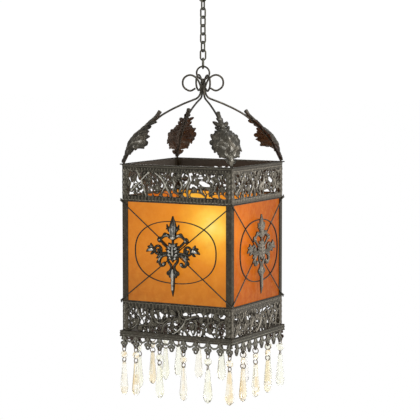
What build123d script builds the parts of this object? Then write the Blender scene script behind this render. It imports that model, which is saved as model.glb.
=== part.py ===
from build123d import *
import os
from math import sin, cos, tan, radians, degrees, sqrt, pi, atan2, hypot

# Hanging lantern: glazed metal box with pierced bands, four bent arm wires with
# acanthus leaves, a ring, a link chain with an S-hook, and faceted drops.
# Millimetres, +Z up.  Heights below are from the underside of the lower band;
# the whole model is then lowered so that the origin is the hanging point.

os.makedirs("parts", exist_ok=True)

# ---- driving dimensions -------------------------------------------------
W = 150.0            # body width, X
D = 135.0            # body depth, Y
H_LOW = 41.5         # lower band height
Z_UP0 = 165.0        # upper band, lower edge
Z_TOP = 208.4        # upper band, top rim
T_SHEET = 1.2        # sheet thickness of posts and bands
FLANGE = 7.5         # post flange width
T_GLASS = 2.0
Z_TRAY = 36.8        # underside of base tray
T_TRAY = 1.2
WIRE = 1.5           # lattice and rim wire diameter
ARM_WIRE = 2.4       # arm wire diameter
RING_OD = 18.0
RING_WIRE = 2.2
RING_Z = 318.8
RING_YAW = 20.0      # plane of the ring, degrees from +X
LINK_L, LINK_W, LINK_WIRE = 14.5, 8.5, 2.0
LINK_GAP = 0.3
N_LINKS = 8
LINK_Z0 = 324.2      # centre of the lowest link's bottom wire
YAW = [110.0, 43.4, -26.6, 58.4, -13.6, 66.4, -5.0, 90.0]   # link planes, lowest first
HOOK_WIRE = 2.4
CANDLE_D, CANDLE_Z0, CANDLE_Z1 = 50.0, 39.6, 118.0
PAN_D = 70.0
FR_PROUD = 2.5       # fringe stands this far out of the body
TAB_HOLE_Z = -13.0
PENDANT_TIP = -74.0

PITCH = LINK_L - 2 * LINK_WIRE - LINK_GAP
Z_HOOK_BOT = LINK_Z0 + N_LINKS * PITCH          # hook's lower bight, wire centre
Z_HOOK_TOP = Z_HOOK_BOT + 34.2                  # upper bight, wire centre
Z_HANG = Z_HOOK_TOP - HOOK_WIRE / 2             # hanging point, inside of upper bight
CORNERS = {"front_left": (-1, -1), "front_right": (1, -1), "back_left": (-1, 1), "back_right": (1, 1)}
DOWN = Location((0, 0, -Z_HANG))


def save(name, *solids):
    flat = []
    for s in solids:
        flat += list(s.solids())
    flat = [DOWN * s for s in flat]
    part = flat[0] if len(flat) == 1 else Compound(children=flat)
    part.label = name
    export_step(part, f"parts/{name}.step")


def face_loc(side, off=0.0):
    """Plane of one side of the body: local x along the side, local y up, z outwards."""
    if side == "front":
        return Plane(origin=(0, -D / 2 - off, 0), x_dir=(1, 0, 0), z_dir=(0, -1, 0))
    if side == "back":
        return Plane(origin=(0, D / 2 + off, 0), x_dir=(-1, 0, 0), z_dir=(0, 1, 0))
    if side == "right":
        return Plane(origin=(W / 2 + off, 0, 0), x_dir=(0, 1, 0), z_dir=(1, 0, 0))
    return Plane(origin=(-W / 2 - off, 0, 0), x_dir=(0, -1, 0), z_dir=(-1, 0, 0))


SIDES = ("front", "back", "right", "left")
SPAN = {"front": W, "back": W, "right": D, "left": D}


def slab(side, sketch, thick, off=0.0):
    """Sketch in side coordinates, extruded outwards by thick from offset off."""
    pl = face_loc(side, off)
    return extrude(pl * sketch, amount=thick)


def rod(p, q, d):
    p, q = Vector(*p), Vector(*q)
    v = q - p
    return Plane(origin=p, z_dir=v) * Pos(0, 0, v.length / 2) * Cylinder(d / 2, v.length)


def bent(pts, radii, d):
    path = FilletPolyline(*pts, radius=radii)
    prof = Plane(origin=path @ 0, z_dir=path % 0) * Circle(d / 2)
    return sweep(prof, path=path)


# ---- S-hook --------------------------------------------------------------
zb, zt = Z_HOOK_BOT, Z_HOOK_TOP
hook_yaw = 0.0
hook = bent([(-5, 0, zb + 10.5), (-5, 0, zb), (5, 0, zb), (-8, 0, zt), (8, 0, zt), (8, 0, zt - 13)],
            [4.8, 3.4, 6.2, 6.8], HOOK_WIRE)
save("s_hook", Rot(0, 0, hook_yaw) * hook)

# ---- chain links ---------------------------------------------------------
rl = (LINK_W - LINK_WIRE) / 2
straight = LINK_L - LINK_W


def link_solid():
    h = straight / 2
    end = revolve(Plane.XZ * Pos(rl, 0) * Circle(LINK_WIRE / 2), Axis.Z, 180)   # half torus about Z
    end = Rot(90, 0, 0) * end
    bb = end.bounding_box()
    if bb.center().Z < 0:
        end = Rot(0, 180, 0) * end
    top = Pos(0, 0, h) * end
    bot = Rot(0, 180, 0) * top
    a = Pos(rl, 0, 0) * Cylinder(LINK_WIRE / 2, straight)
    b = Pos(-rl, 0, 0) * Cylinder(LINK_WIRE / 2, straight)
    return (top + bot + a + b).clean()


LINK = link_solid()
for k in range(N_LINKS):
    zc = LINK_Z0 + k * PITCH + (LINK_L - LINK_WIRE) / 2
    save(f"chain_link_{N_LINKS - k}", Pos(0, 0, zc) * Rot(0, 0, YAW[k]) * LINK)

# ---- top ring with its solder joint ---------------------------------------
ring = Rot(90, 0, 0) * Torus((RING_OD - RING_WIRE) / 2, RING_WIRE / 2)
blob = Pos(0, 0, 307.6) * Sphere(3.25)
save("top_ring", (Pos(0, 0, RING_Z) * Rot(0, 0, RING_YAW) * ring + blob).clean())

# ---- arm wires -------------------------------------------------------------
# profile (radius from axis, height) in each vertical diagonal plane
ARM = [(99.3, Z_TOP + 0.75), (93.4, 221.0), (86.4, 234.9), (71.2, 252.0), (52.0, 267.9), (37.8, 275.4),
       (23.6, 281.8), (4.6, 288.9), (1.9, 300.0), (6.9, 312.3), (16.2, 317.6), (25.5, 312.3), (25.5, 301.5),
       (16.2, 296.2), (9.6, 300.0)]


def arm_radii(pts, cap=90.0):
    out = []
    for i in range(1, len(pts) - 1):
        a, b, c = pts[i - 1], pts[i], pts[i + 1]
        l1, l2 = hypot(b[0] - a[0], b[1] - a[1]), hypot(c[0] - b[0], c[1] - b[1])
        t1, t2 = atan2(b[1] - a[1], b[0] - a[0]), atan2(c[1] - b[1], c[0] - b[0])
        turn = abs((t2 - t1 + pi) % (2 * pi) - pi)
        out.append(min(cap, 0.46 * min(l1, l2) / max(0.02, tan(turn / 2))))
    return out


AR = arm_radii(ARM)
for cn, (sx, sy) in CORNERS.items():
    th = atan2(sy * D / 2, sx * W / 2)
    pts = [(r * cos(th), r * sin(th), z) for r, z in ARM]
    save(f"arm_wire_{cn}", bent(pts, AR, ARM_WIRE))

# ---- acanthus leaves ---------------------------------------------------------
# outline in the leaf's own plane: x across, y down the leaf
LEAF_HALF = [(0, -10), (2.2, -10), (2.4, -1), (4.5, 3), (8.5, 5), (8.2, 9), (5.0, 14), (6.5, 18), (12, 20), (15, 24),
             (20, 27), (21.8, 33), (20.5, 39), (18.0, 44), (11, 47), (5.5, 49), (6.5, 53), (6.0, 57), (2.8, 61),
             (1.6, 66), (0, 67)]
half = Polyline(*[(x, -y) for x, y in LEAF_HALF])
other = Polyline(*[(-x, -y) for x, y in LEAF_HALF])
leaf_face = make_face(half.edges() + other.edges())
P0 = (50.5, 279.5)
P1 = (96.8, 219.4)
for cn, (sx, sy) in CORNERS.items():
    th = atan2(sy * D / 2, sx * W / 2)
    dr, dz = P1[0] - P0[0], P1[1] - P0[1]
    ln = hypot(dr, dz)
    dr, dz = dr / ln, dz / ln
    nr, nz = -dz, dr                       # outward normal in the diagonal plane
    o = Vector(P0[0] * cos(th), P0[0] * sin(th), P0[1])
    n = Vector(nr * cos(th), nr * sin(th), nz)
    xd = Vector(-sin(th), cos(th), 0)
    o = o + n * 3.2
    pl = Plane(origin=o, x_dir=xd, z_dir=n)
    plate = extrude(pl * leaf_face, amount=1.6)
    sign = 1 if (pl.y_dir.Z > 0) else -1
    if sign < 0:
        pl = Plane(origin=o, x_dir=-xd, z_dir=n)
        plate = extrude(pl * leaf_face, amount=1.6)
    stub = pl * Pos(0, 5.0, 0.8) * Rot(90, 0, 0) * Cylinder(2.3, 12.0)
    save(f"leaf_{cn}", plate + stub)

# ---- corner posts: four L-sections --------------------------------------------
posts = []
for sx, sy in CORNERS.values():
    a = Box(FLANGE, T_SHEET, Z_TOP, align=(Align.MIN, Align.MIN, Align.MIN))
    b = Box(T_SHEET, FLANGE - 0.9, Z_TOP, align=(Align.MIN, Align.MIN, Align.MIN))
    ell = (a + b).clean()
    if (sx, sy) == (-1, -1):
        m = ell
    elif (sx, sy) == (1, -1):
        m = mirror(ell, Plane.YZ)
    elif (sx, sy) == (-1, 1):
        m = mirror(ell, Plane.XZ)
    else:
        m = mirror(mirror(ell, Plane.YZ), Plane.XZ)
    posts.append(Pos(sx * W / 2, sy * D / 2, 0) * m)
save("corner_posts", *posts)

# ---- pierced bands ---------------------------------------------------------------
SCROLL = 32.4


def band_sketch(span, z0, z1, flange):
    w = span - 2 * flange
    h = z1 - z0
    zm = (z0 + z1) / 2
    pitch = w / 4
    sk = Pos(0, zm) * Rectangle(w, h)
    holes = []
    for i in range(-2, 3):
        x = i * pitch
        if abs(x) < w / 2 - 8:
            holes.append(Pos(x, zm) * Ellipse(4.2, h * 0.26))
            holes.append(Pos(x - 5.5, zm + h * 0.30) * Rot(0, 0, 35) * Ellipse(1.6, 3.2))
            holes.append(Pos(x + 5.5, zm + h * 0.30) * Rot(0, 0, -35) * Ellipse(1.6, 3.2))
            holes.append(Pos(x - 5.5, zm - h * 0.30) * Rot(0, 0, -35) * Ellipse(1.6, 3.2))
            holes.append(Pos(x + 5.5, zm - h * 0.30) * Rot(0, 0, 35) * Ellipse(1.6, 3.2))
    for i in range(-2, 2):
        x = (i + 0.5) * pitch
        holes.append(Pos(x, zm + h * 0.22) * Ellipse(2.6, 4.6))
        holes.append(Pos(x, zm - h * 0.22) * Ellipse(2.6, 4.6))
        holes.append(Pos(x - 6.0, zm) * Ellipse(2.0, 3.4))
        holes.append(Pos(x + 6.0, zm) * Ellipse(2.0, 3.4))
    return sk - holes


for side in SIDES:
    fl = FLANGE if side in ("front", "back") else FLANGE - 0.9
    up = band_sketch(SPAN[side], Z_UP0, Z_TOP, fl)
    lo = band_sketch(SPAN[side], 0.0, H_LOW, fl)
    save(f"upper_band_{side}", slab(side, up, T_SHEET, -T_SHEET))
    save(f"lower_band_{side}", slab(side, lo, T_SHEET, -T_SHEET))

# ---- scalloped fringe: moulding, swags and pierced tabs ---------------------------
PITCH_T = 16.62      # the strip runs on at this pitch and is cut short at the far corner
TABS = {"front": [-72.0 + PITCH_T * i for i in range(9)] + [73.8], "right": [(i + 0.5) * 16.5 for i in range(-4, 4)]}
TABS["back"], TABS["left"] = TABS["front"], TABS["right"]


def fringe_solid(side):
    span = SPAN[side] + (2 * FR_PROUD if side in ("front", "back") else -0.2)
    bar = slab(side, Pos(0, -0.05) * Rectangle(span, 3.1), FR_PROUD, 0.0)
    sk = None
    tabs = TABS[side]
    parts = []
    for t in tabs:
        parts.append(Pos(t, -6.5) * Rectangle(3.0, 12.0))
        parts.append(Pos(t, -12.8) * Circle(3.0))
        parts.append(Pos(t - 2.0, -8.8) * Circle(1.8))
        parts.append(Pos(t + 2.0, -8.8) * Circle(1.8))
    for a, b in zip(tabs[:-1], tabs[1:]):
        m = (a + b) / 2
        ring_ = Pos(m, -1.0) * (Circle(8.0) - Circle(6.4)) & (Pos(m, -6.0) * Rectangle(18, 10))
        parts.append(ring_)
    sk = parts[0]
    for p in parts[1:]:
        sk = sk + p
    for t in tabs:
        sk = sk - Pos(t, TAB_HOLE_Z) * Circle(1.35)
    sheet = slab(side, sk, 1.0, FR_PROUD - 1.0)
    return bar + sheet


save("scalloped_fringe", *[fringe_solid(s) for s in SIDES])

# ---- glass panels -------------------------------------------------------------------
GZ0, GZ1 = Z_TRAY + T_TRAY, 168.0
for side in SIDES:
    if side in ("front", "back"):
        w = W - 2 * T_SHEET - 0.2
    else:
        w = D - 2 * (T_SHEET + T_GLASS) - 0.4
    g = slab(side, Pos(0, (GZ0 + GZ1) / 2) * Rectangle(w, GZ1 - GZ0), T_GLASS, -T_SHEET - T_GLASS)
    save(f"glass_panel_{side}", g)

# ---- rim rods, lattice wires and ovals -------------------------------------------------
rods = []
for s in (-1, 1):
    rods.append(rod((-W / 2 - 2.6, s * (D / 2 + WIRE / 2), Z_TOP + 0.4), (W / 2 + 2.6, s * (D / 2 + WIRE / 2), Z_TOP + 0.4), WIRE))
    rods.append(rod((s * (W / 2 + WIRE / 2), -D / 2 + 0.05, Z_TOP + 0.4), (s * (W / 2 + WIRE / 2), D / 2 - 0.05, Z_TOP + 0.4), WIRE))
    for z in (H_LOW + WIRE / 2, Z_UP0 - WIRE / 2):
        y = s * (D / 2 - T_SHEET + WIRE / 2 + 0.02)
        x = s * (W / 2 - T_SHEET + WIRE / 2 + 0.02)
        rods.append(rod((-W / 2 + FLANGE, y, z), (W / 2 - FLANGE, y, z), WIRE))
        rods.append(rod((x, -D / 2 + FLANGE - 0.9, z), (x, D / 2 - FLANGE + 0.9, z), WIRE))
save("rim_rods", *rods)



def full_oval(a, b, n=2.35, m=48):
    """Oval a little fuller than an ellipse, as the bent wire is."""
    pts = []
    for i in range(m):
        t = 2 * pi * i / m
        c, s_ = cos(t), sin(t)
        pts.append((a * abs(c) ** (2 / n) * (1 if c > 0 else -1), b * abs(s_) ** (2 / n) * (1 if s_ > 0 else -1)))
    return make_face(Spline(*pts, periodic=True).edges())


cross = []
ovals = []
for side in SIDES:
    s = SPAN[side] / 2 + 2.5
    pl = face_loc(side, WIRE / 2)
    za, zb_ = (42.0, 165.2) if side in ("front", "back") else (40.2, 167.1)

    def P(x, z, o=0.0, pl=pl):
        v = pl.origin + pl.x_dir * x + pl.y_dir * z + pl.z_dir * o
        return (v.X, v.Y, v.Z)

    cross.append(rod(P(-s, za), P(s, zb_), WIRE))
    L = hypot(2 * s, zb_ - za)
    g = (WIRE / 2 + 0.05) / abs(sin(2 * atan2(zb_ - za, 2 * s))) + 0.75 / abs(tan(2 * atan2(zb_ - za, 2 * s)))
    ux, uz = 2 * s / L, -(zb_ - za) / L
    xm, zm = 0.0, (za + zb_) / 2
    cross.append(rod(P(-s, zb_), P(xm - ux * g, zm - uz * g), WIRE))
    cross.append(rod(P(xm + ux * g, zm + uz * g), P(s, za), WIRE))
    ao = 55.5 if side in ("front", "back") else 49.5
    sk = Pos(0, 105.0) * (full_oval(ao + 0.6, 38.0) - full_oval(ao - 0.6, 36.8))
    ovals.append(slab(side, sk, 1.3, WIRE + 0.02))
save("cross_wires", *cross)
save("oval_wires", *ovals)

# ---- cast medallions ---------------------------------------------------------------------


def medallion_sketch():
    g = Pos(0, 107) * Ellipse(9, 11)
    add = [
        Pos(0, 134.5) * Ellipse(5.0, 13.5), Pos(0, 136) * Ellipse(8.0, 2.2), Pos(0, 119) * Rectangle(4.5, 12),
        Pos(0, 124) * Ellipse(6.5, 2.6),
        Pos(0, 93) * Ellipse(5.5, 6.5), Pos(0, 78) * Ellipse(3.4, 12.0), Pos(0, 64) * Ellipse(1.5, 12.0),
    ]
    for s in (-1, 1):
        add += [
            Pos(s * 14.5, 120.5) * Circle(4.6), Pos(s * 9, 117.5) * Rot(0, 0, s * 12) * Ellipse(8.0, 2.2),
            Pos(s * 18, 107) * Ellipse(14, 2.4), Pos(s * 30.5, 107) * Ellipse(5.4, 4.2), Pos(s * 30, 107) * Ellipse(2.0, 8.0),
            Pos(s * 12.5, 97.0) * Rot(0, 0, s * 32) * Ellipse(9.5, 2.4), Pos(s * 17.5, 98) * Ellipse(3.6, 5.5),
            Pos(s * 12.5, 88.5) * Circle(3.8), Pos(s * 8.5, 92.0) * Rot(0, 0, -s * 40) * Ellipse(5.5, 1.8),
            Pos(s * 5.2, 80.0) * Circle(3.2), Pos(s * 3.0, 84.0) * Ellipse(2.0, 6.0),
        ]
    for a in add:
        g = g + a
    for s in (-1, 1):
        g = g - Pos(s * 14.5, 120.5) * Circle(2.0) - Pos(s * 12.5, 88.5) * Circle(1.5)
    return g


msk = medallion_sketch()
med = []
for side in SIDES:
    off = {"front": -2.5, "back": -2.5, "right": 3.0, "left": 3.0}[side]
    med.append(slab(side, Pos(off, 0) * msk, 2.4, WIRE + 1.4))
save("medallions", *med)

# ---- base tray, candle pan, candle, wick ---------------------------------------------------
tray = Pos(0, 0, Z_TRAY + T_TRAY / 2) * (Box(W - 2 * T_SHEET - 0.1, D - 2 * T_SHEET - 0.1, T_TRAY) - Cylinder(4, 10))
for s in (-1, 1):
    for t in (-1, 1):
        tray = tray - Pos(s * (W / 2 - 3), t * (D / 2 - 3), Z_TRAY + 0.6) * Box(9.4, 8.6, 3)
save("base_tray", tray)
pan_prof = Plane.XZ * make_face(Polyline((0, 38.0), (27, 38.0), (PAN_D / 2, 42.2), (PAN_D / 2, 43.4), (26.6, 39.2), (0, 39.2), (0, 38.0)).edges())
pan = revolve(pan_prof, Axis.Z, 360)
save("candle_pan", pan - Pos(0, 0, 38.6) * Cylinder(2.0, 4))
candle = Pos(0, 0, (CANDLE_Z0 + CANDLE_Z1) / 2) * Cylinder(CANDLE_D / 2, CANDLE_Z1 - CANDLE_Z0)
candle = fillet(candle.edges().group_by(Axis.Z)[-1], 2.5)
candle = candle - Pos(0, 0, CANDLE_Z1 - 4) * Cylinder(0.9, 20)
candle = candle.solids()[0]
save("candle", candle)
save("wick", Pos(0, 0, (CANDLE_Z1 - 14 + CANDLE_Z1 + 8) / 2) * Cylinder(0.85, 22))

# ---- hanging drops ------------------------------------------------------------------------
R_RING, W_RING = 3.7, 1.1
BEAD_Z = TAB_HOLE_Z - 2 * R_RING - 3.6
BEAD_W, BEAD_T = 10.0, 5.0
JOIN_R = 3.1
JOIN_Z = BEAD_Z - 3.6 - JOIN_R


def pendant():
    """Upper ring, eight-sided bead, lower ring and faceted drop, hung at y=0 plane,
    bead facing Y, top of the upper ring's wire centre at z=TAB_HOLE_Z."""
    up = Pos(0, 0, TAB_HOLE_Z - R_RING) * Rot(0, 90, 0) * Torus(R_RING, W_RING / 2)       # ring in YZ plane
    oct_ = RegularPolygon(BEAD_W / 2, 8, major_radius=False, rotation=22.5)
    inner = RegularPolygon(BEAD_W / 2 - 1.6, 8, major_radius=False, rotation=22.5)
    bead = loft([Plane(origin=(0, -BEAD_T / 2, BEAD_Z), x_dir=(1, 0, 0), z_dir=(0, -1, 0)) * inner,
                 Plane(origin=(0, -0.6, BEAD_Z), x_dir=(1, 0, 0), z_dir=(0, -1, 0)) * oct_], ruled=True)
    bead2 = mirror(bead, Plane.XZ)
    mid = extrude(Plane(origin=(0, 0.6, BEAD_Z), x_dir=(1, 0, 0), z_dir=(0, -1, 0)) * oct_, amount=1.2)
    bead = bead + bead2 + mid
    for zz in (TAB_HOLE_Z - 2 * R_RING, BEAD_Z - 3.6):
        bead = bead - Pos(0, 0, zz) * Rot(90, 0, 0) * Cylinder(0.95, 12)
    low = Pos(0, 0, JOIN_Z) * Rot(0, 90, 0) * Torus(JOIN_R, 0.5)
    ztop = JOIN_Z - JOIN_R + 1.9
    prof = [(1.5, ztop), (2.8, ztop - 3.0), (3.0, ztop - 6.0), (4.0, ztop - 16.1), (5.5, ztop - 29.1), (5.8, ztop - 33.1), (4.9, ztop - 37.7), (2.8, ztop - 40.9), (0.6, PENDANT_TIP)]
    secs = [Plane(origin=(0, 0, z)) * RegularPolygon(r, 8, major_radius=False) for r, z in prof]
    drop = loft(secs[:2], ruled=True)
    for a, b in zip(secs[1:-1], secs[2:]):
        drop = drop + loft([a, b], ruled=True)
    drop = drop - Pos(0, 0, JOIN_Z - JOIN_R) * Rot(90, 0, 0) * Cylinder(0.85, 12)
    return [up, bead, low, drop]


base = pendant()
places = []
for x in (-72.0, -55.38, -22.14, 11.1, 44.34, 73.8):
    places.append((x, -1, 0.0))
for x in (72.0, 55.38, 22.14, -11.1, -44.34, -73.8):
    places.append((x, 1, 180.0))
n = 0
for x, s, yaw in places:
    n += 1
    loc = Location((x, s * (D / 2 + FR_PROUD - 0.5), 0), (0, 0, yaw))
    save(f"crystal_pendant_{n:02d}", *[loc * b for b in base])
for s in (1, -1):
    for y in (-41.25, -8.25, 24.75):
        n += 1
        loc = Location((s * (W / 2 + FR_PROUD - 0.5), s * y, 0), (0, 0, 90.0 * s))
        save(f"crystal_pendant_{n:02d}", *[loc * b for b in base])
print("hang", Z_HANG, "nodes", len(os.listdir("parts")), "pendants", n)
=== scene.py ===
import bpy, math
import numpy as np
from mathutils import Vector, Matrix


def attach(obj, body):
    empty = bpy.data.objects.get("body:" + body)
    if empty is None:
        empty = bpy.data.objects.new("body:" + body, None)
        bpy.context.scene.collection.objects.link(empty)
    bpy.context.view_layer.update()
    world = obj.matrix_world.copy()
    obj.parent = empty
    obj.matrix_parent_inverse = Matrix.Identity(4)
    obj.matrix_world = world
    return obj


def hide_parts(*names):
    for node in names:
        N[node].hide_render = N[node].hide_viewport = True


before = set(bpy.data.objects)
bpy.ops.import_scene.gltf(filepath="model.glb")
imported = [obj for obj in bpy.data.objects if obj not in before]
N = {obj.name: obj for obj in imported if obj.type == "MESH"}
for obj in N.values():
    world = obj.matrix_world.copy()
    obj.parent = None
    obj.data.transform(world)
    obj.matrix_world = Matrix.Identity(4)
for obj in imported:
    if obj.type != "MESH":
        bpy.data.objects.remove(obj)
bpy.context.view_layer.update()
Z_HANG = 438.8            # mm from the underside of the lower band up to the origin
W, D = 150.0, 135.0
MM = 0.001
rng = np.random.RandomState(7)

# ------------------------------------------------------------------ camera
cam_d = bpy.data.cameras.new("cam")
cam = bpy.data.objects.new("cam", cam_d)
bpy.context.scene.collection.objects.link(cam)
cam_d.lens = 1877.0 / 420.0 * 36.0
cam_d.sensor_width = 36.0
cam_d.sensor_fit = "HORIZONTAL"
cam_d.clip_start, cam_d.clip_end = 0.05, 60.0
cam_d.dof.use_dof = False
back = Vector((0.4733, -0.8760, 0.0929)).normalized()
right = Vector((0.8798, 0.4753, 0.0)).normalized()
up = back.cross(right).normalized()
right = up.cross(back).normalized()
m = Matrix((right, up, back)).transposed().to_4x4()
m.translation = Vector((1099.8 * MM, -2017.65 * MM, (365.06 - Z_HANG) * MM))
cam.matrix_world = m
bpy.context.scene.camera = cam

# ------------------------------------------------------------------ world, floor, lights
sc = bpy.context.scene
sc.view_settings.view_transform = "Standard"
world = bpy.data.worlds.new("world")
sc.world = world
world.use_nodes = True
wt = world.node_tree
bg = wt.nodes["Background"]
bg.inputs[0].default_value = (1.0, 1.0, 1.0, 1)
bg.inputs[1].default_value = 1.03
# a white backdrop; the metal sees a softer studio, brighter above and to the right
lp = wt.nodes.new("ShaderNodeLightPath")
seen = wt.nodes.new("ShaderNodeMath"); seen.operation = "MAXIMUM"
wt.links.new(lp.outputs["Is Camera Ray"], seen.inputs[0])
wt.links.new(lp.outputs["Is Transmission Ray"], seen.inputs[1])
wc = wt.nodes.new("ShaderNodeTexCoord")
dot = wt.nodes.new("ShaderNodeVectorMath"); dot.operation = "DOT_PRODUCT"
wt.links.new(wc.outputs["Generated"], dot.inputs[0])
dot.inputs[1].default_value = (0.62, -0.10, 0.78)
mr = wt.nodes.new("ShaderNodeMapRange")
mr.inputs["From Min"].default_value, mr.inputs["From Max"].default_value = -0.9, 0.95
mr.inputs["To Min"].default_value, mr.inputs["To Max"].default_value = 0.13, 0.95
wt.links.new(dot.outputs["Value"], mr.inputs["Value"])
bg2 = wt.nodes.new("ShaderNodeBackground")
wt.links.new(mr.outputs["Result"], bg2.inputs["Strength"])
bg2.inputs["Color"].default_value = (1.0, 0.99, 0.97, 1)
wm = wt.nodes.new("ShaderNodeMixShader")
wt.links.new(seen.outputs[0], wm.inputs[0])
wt.links.new(bg2.outputs[0], wm.inputs[1])
wt.links.new(bg.outputs[0], wm.inputs[2])
wt.links.new(wm.outputs[0], wt.nodes["World Output"].inputs["Surface"])


def area(name, loc, target, size, power, col=(1, 1, 1)):
    ld = bpy.data.lights.new(name, "AREA")
    ld.energy, ld.size, ld.color = power, size, col
    ob = bpy.data.objects.new(name, ld)
    ob.location = loc
    d = Vector(target) - Vector(loc)
    ob.rotation_euler = d.to_track_quat("-Z", "Y").to_euler()
    sc.collection.objects.link(ob)
    return ob


area("key", (1.75, -0.15, 0.45), (0, 0, -0.3), 1.7, 58.0)
area("strip", (-0.75, -1.5, 0.95), (0, 0, -0.3), 0.26, 10.0)
area("fill", (-0.2, -2.4, -0.2), (0, 0, -0.3), 1.0, 1.5)
area("rim", (-0.9, 1.5, 0.8), (0, 0, -0.3), 0.6, 8.0)


# ------------------------------------------------------------------ mesh helpers
def new_mesh(name, verts, faces, smooth=True, attrs=None):
    me = bpy.data.meshes.new(name)
    me.from_pydata([tuple(v) for v in verts] if not isinstance(verts, np.ndarray) else verts.tolist(), [],
                   faces if not isinstance(faces, np.ndarray) else faces.tolist())
    if attrs:
        for k, a in attrs.items():
            at = me.attributes.new(k, "FLOAT", "POINT")
            at.data.foreach_set("value", np.asarray(a, dtype=np.float32))
    me.validate()
    if smooth:
        me.shade_smooth()
    me.update()
    return me


def add(name, me, body, mat=None, loc=None):
    ob = bpy.data.objects.new(name, me)
    sc.collection.objects.link(ob)
    if loc is not None:
        ob.location = loc
    if mat is not None:
        me.materials.clear()
        me.materials.append(mat)
    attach(ob, body)
    return ob


def zz(z):
    return z - Z_HANG


# stroke model: every ornament is a set of tapered rounded strokes on a plane
def cr(points, n=14):
    """Catmull-Rom through points (k columns), n samples a span."""
    P = np.asarray(points, float)
    if len(P) < 3:
        t = np.linspace(0, 1, n)[:, None]
        return P[0] * (1 - t) + P[-1] * t
    Q = np.vstack([2 * P[0] - P[1], P, 2 * P[-1] - P[-2]])
    out = []
    for i in range(1, len(Q) - 2):
        p0, p1, p2, p3 = Q[i - 1], Q[i], Q[i + 1], Q[i + 2]
        t = np.linspace(0, 1, n, endpoint=False)[:, None]
        out.append(0.5 * ((2 * p1) + (-p0 + p2) * t + (2 * p0 - 5 * p1 + 4 * p2 - p3) * t ** 2 + (-p0 + 3 * p1 - 3 * p2 + p3) * t ** 3))
    out.append(P[-1][None])
    return np.vstack(out)


def S(points, h=1.0, n=10):
    """points: (x, y, half width) rows; h: height per half width."""
    c = cr(points, n)
    return {"x": c[:, 0], "y": c[:, 1], "w": np.maximum(c[:, 2], 0.02), "h": h, "top": None}


def mirror_x(strokes):
    return [dict(s, x=-s["x"]) for s in strokes]


def shift(strokes, dx=0.0, dy=0.0, sx=1.0, sy=1.0, rot=0.0, sw=1.0):
    out = []
    c, s_ = math.cos(rot), math.sin(rot)
    for s in strokes:
        x, y = s["x"] * sx, s["y"] * sy
        out.append(dict(s, x=c * x - s_ * y + dx, y=s_ * x + c * y + dy, w=s["w"] * sw))
    return out


def spiral(cx, cy, r0, r1, a0, a1, w0, w1, n=18, h=1.0):
    a = np.linspace(math.radians(a0), math.radians(a1), n)
    r = np.linspace(r0, r1, n)
    w = np.linspace(w0, w1, n)
    return {"x": cx + r * np.cos(a), "y": cy + r * np.sin(a), "w": w, "h": h, "top": None}


def blob(x, y, r, h=1.0):
    return {"x": np.array([x, x + 0.01]), "y": np.array([y, y]), "w": np.array([r, r]), "h": h, "top": None}


def field(X, Y, strokes, hmax=3.0):
    """Signed distance (negative inside) and height of the union of strokes on the grid."""
    d = np.full(X.shape, 1e3)
    H = np.zeros(X.shape)
    x0, y0 = X[0, 0], Y[0, 0]
    dx, dy = X[1, 0] - X[0, 0], Y[0, 1] - Y[0, 0]
    for s in strokes:
        xs, ys, ws = s["x"], s["y"], s["w"]
        wm = ws.max() + 2.5 * abs(dx) + 0.4
        i0 = max(0, int((xs.min() - wm - x0) / dx)); i1 = min(X.shape[0], int((xs.max() + wm - x0) / dx) + 2)
        j0 = max(0, int((ys.min() - wm - y0) / dy)); j1 = min(X.shape[1], int((ys.max() + wm - y0) / dy) + 2)
        if i1 <= i0 or j1 <= j0:
            continue
        gx, gy = X[i0:i1, j0:j1], Y[i0:i1, j0:j1]
        bd = np.full(gx.shape, 1e3); bw = np.zeros(gx.shape); br = np.full(gx.shape, 1e3)
        for k in range(len(xs) - 1):
            ax, ay, bx, by = xs[k], ys[k], xs[k + 1], ys[k + 1]
            ux, uy = bx - ax, by - ay
            L2 = ux * ux + uy * uy + 1e-9
            t = np.clip(((gx - ax) * ux + (gy - ay) * uy) / L2, 0, 1)
            w = ws[k] + (ws[k + 1] - ws[k]) * t
            r = np.hypot(gx - ax - ux * t, gy - ay - uy * t)
            dd = r - w
            mk = dd < bd
            bd = np.where(mk, dd, bd); bw = np.where(mk, w, bw); br = np.where(mk, r, br)
        d[i0:i1, j0:j1] = np.minimum(d[i0:i1, j0:j1], bd)
        q = np.clip(1 - (br / np.maximum(bw, 1e-3)) ** 2, 0, 1)
        hh = np.sqrt(q) * np.minimum(bw * s["h"], hmax)
        if s.get("groove"):
            hh = hh - s["groove"] * np.exp(-(br / (0.22 * bw + 0.05)) ** 2) * (q > 0)
        H[i0:i1, j0:j1] = np.maximum(H[i0:i1, j0:j1], hh)
    return d, H


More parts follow.
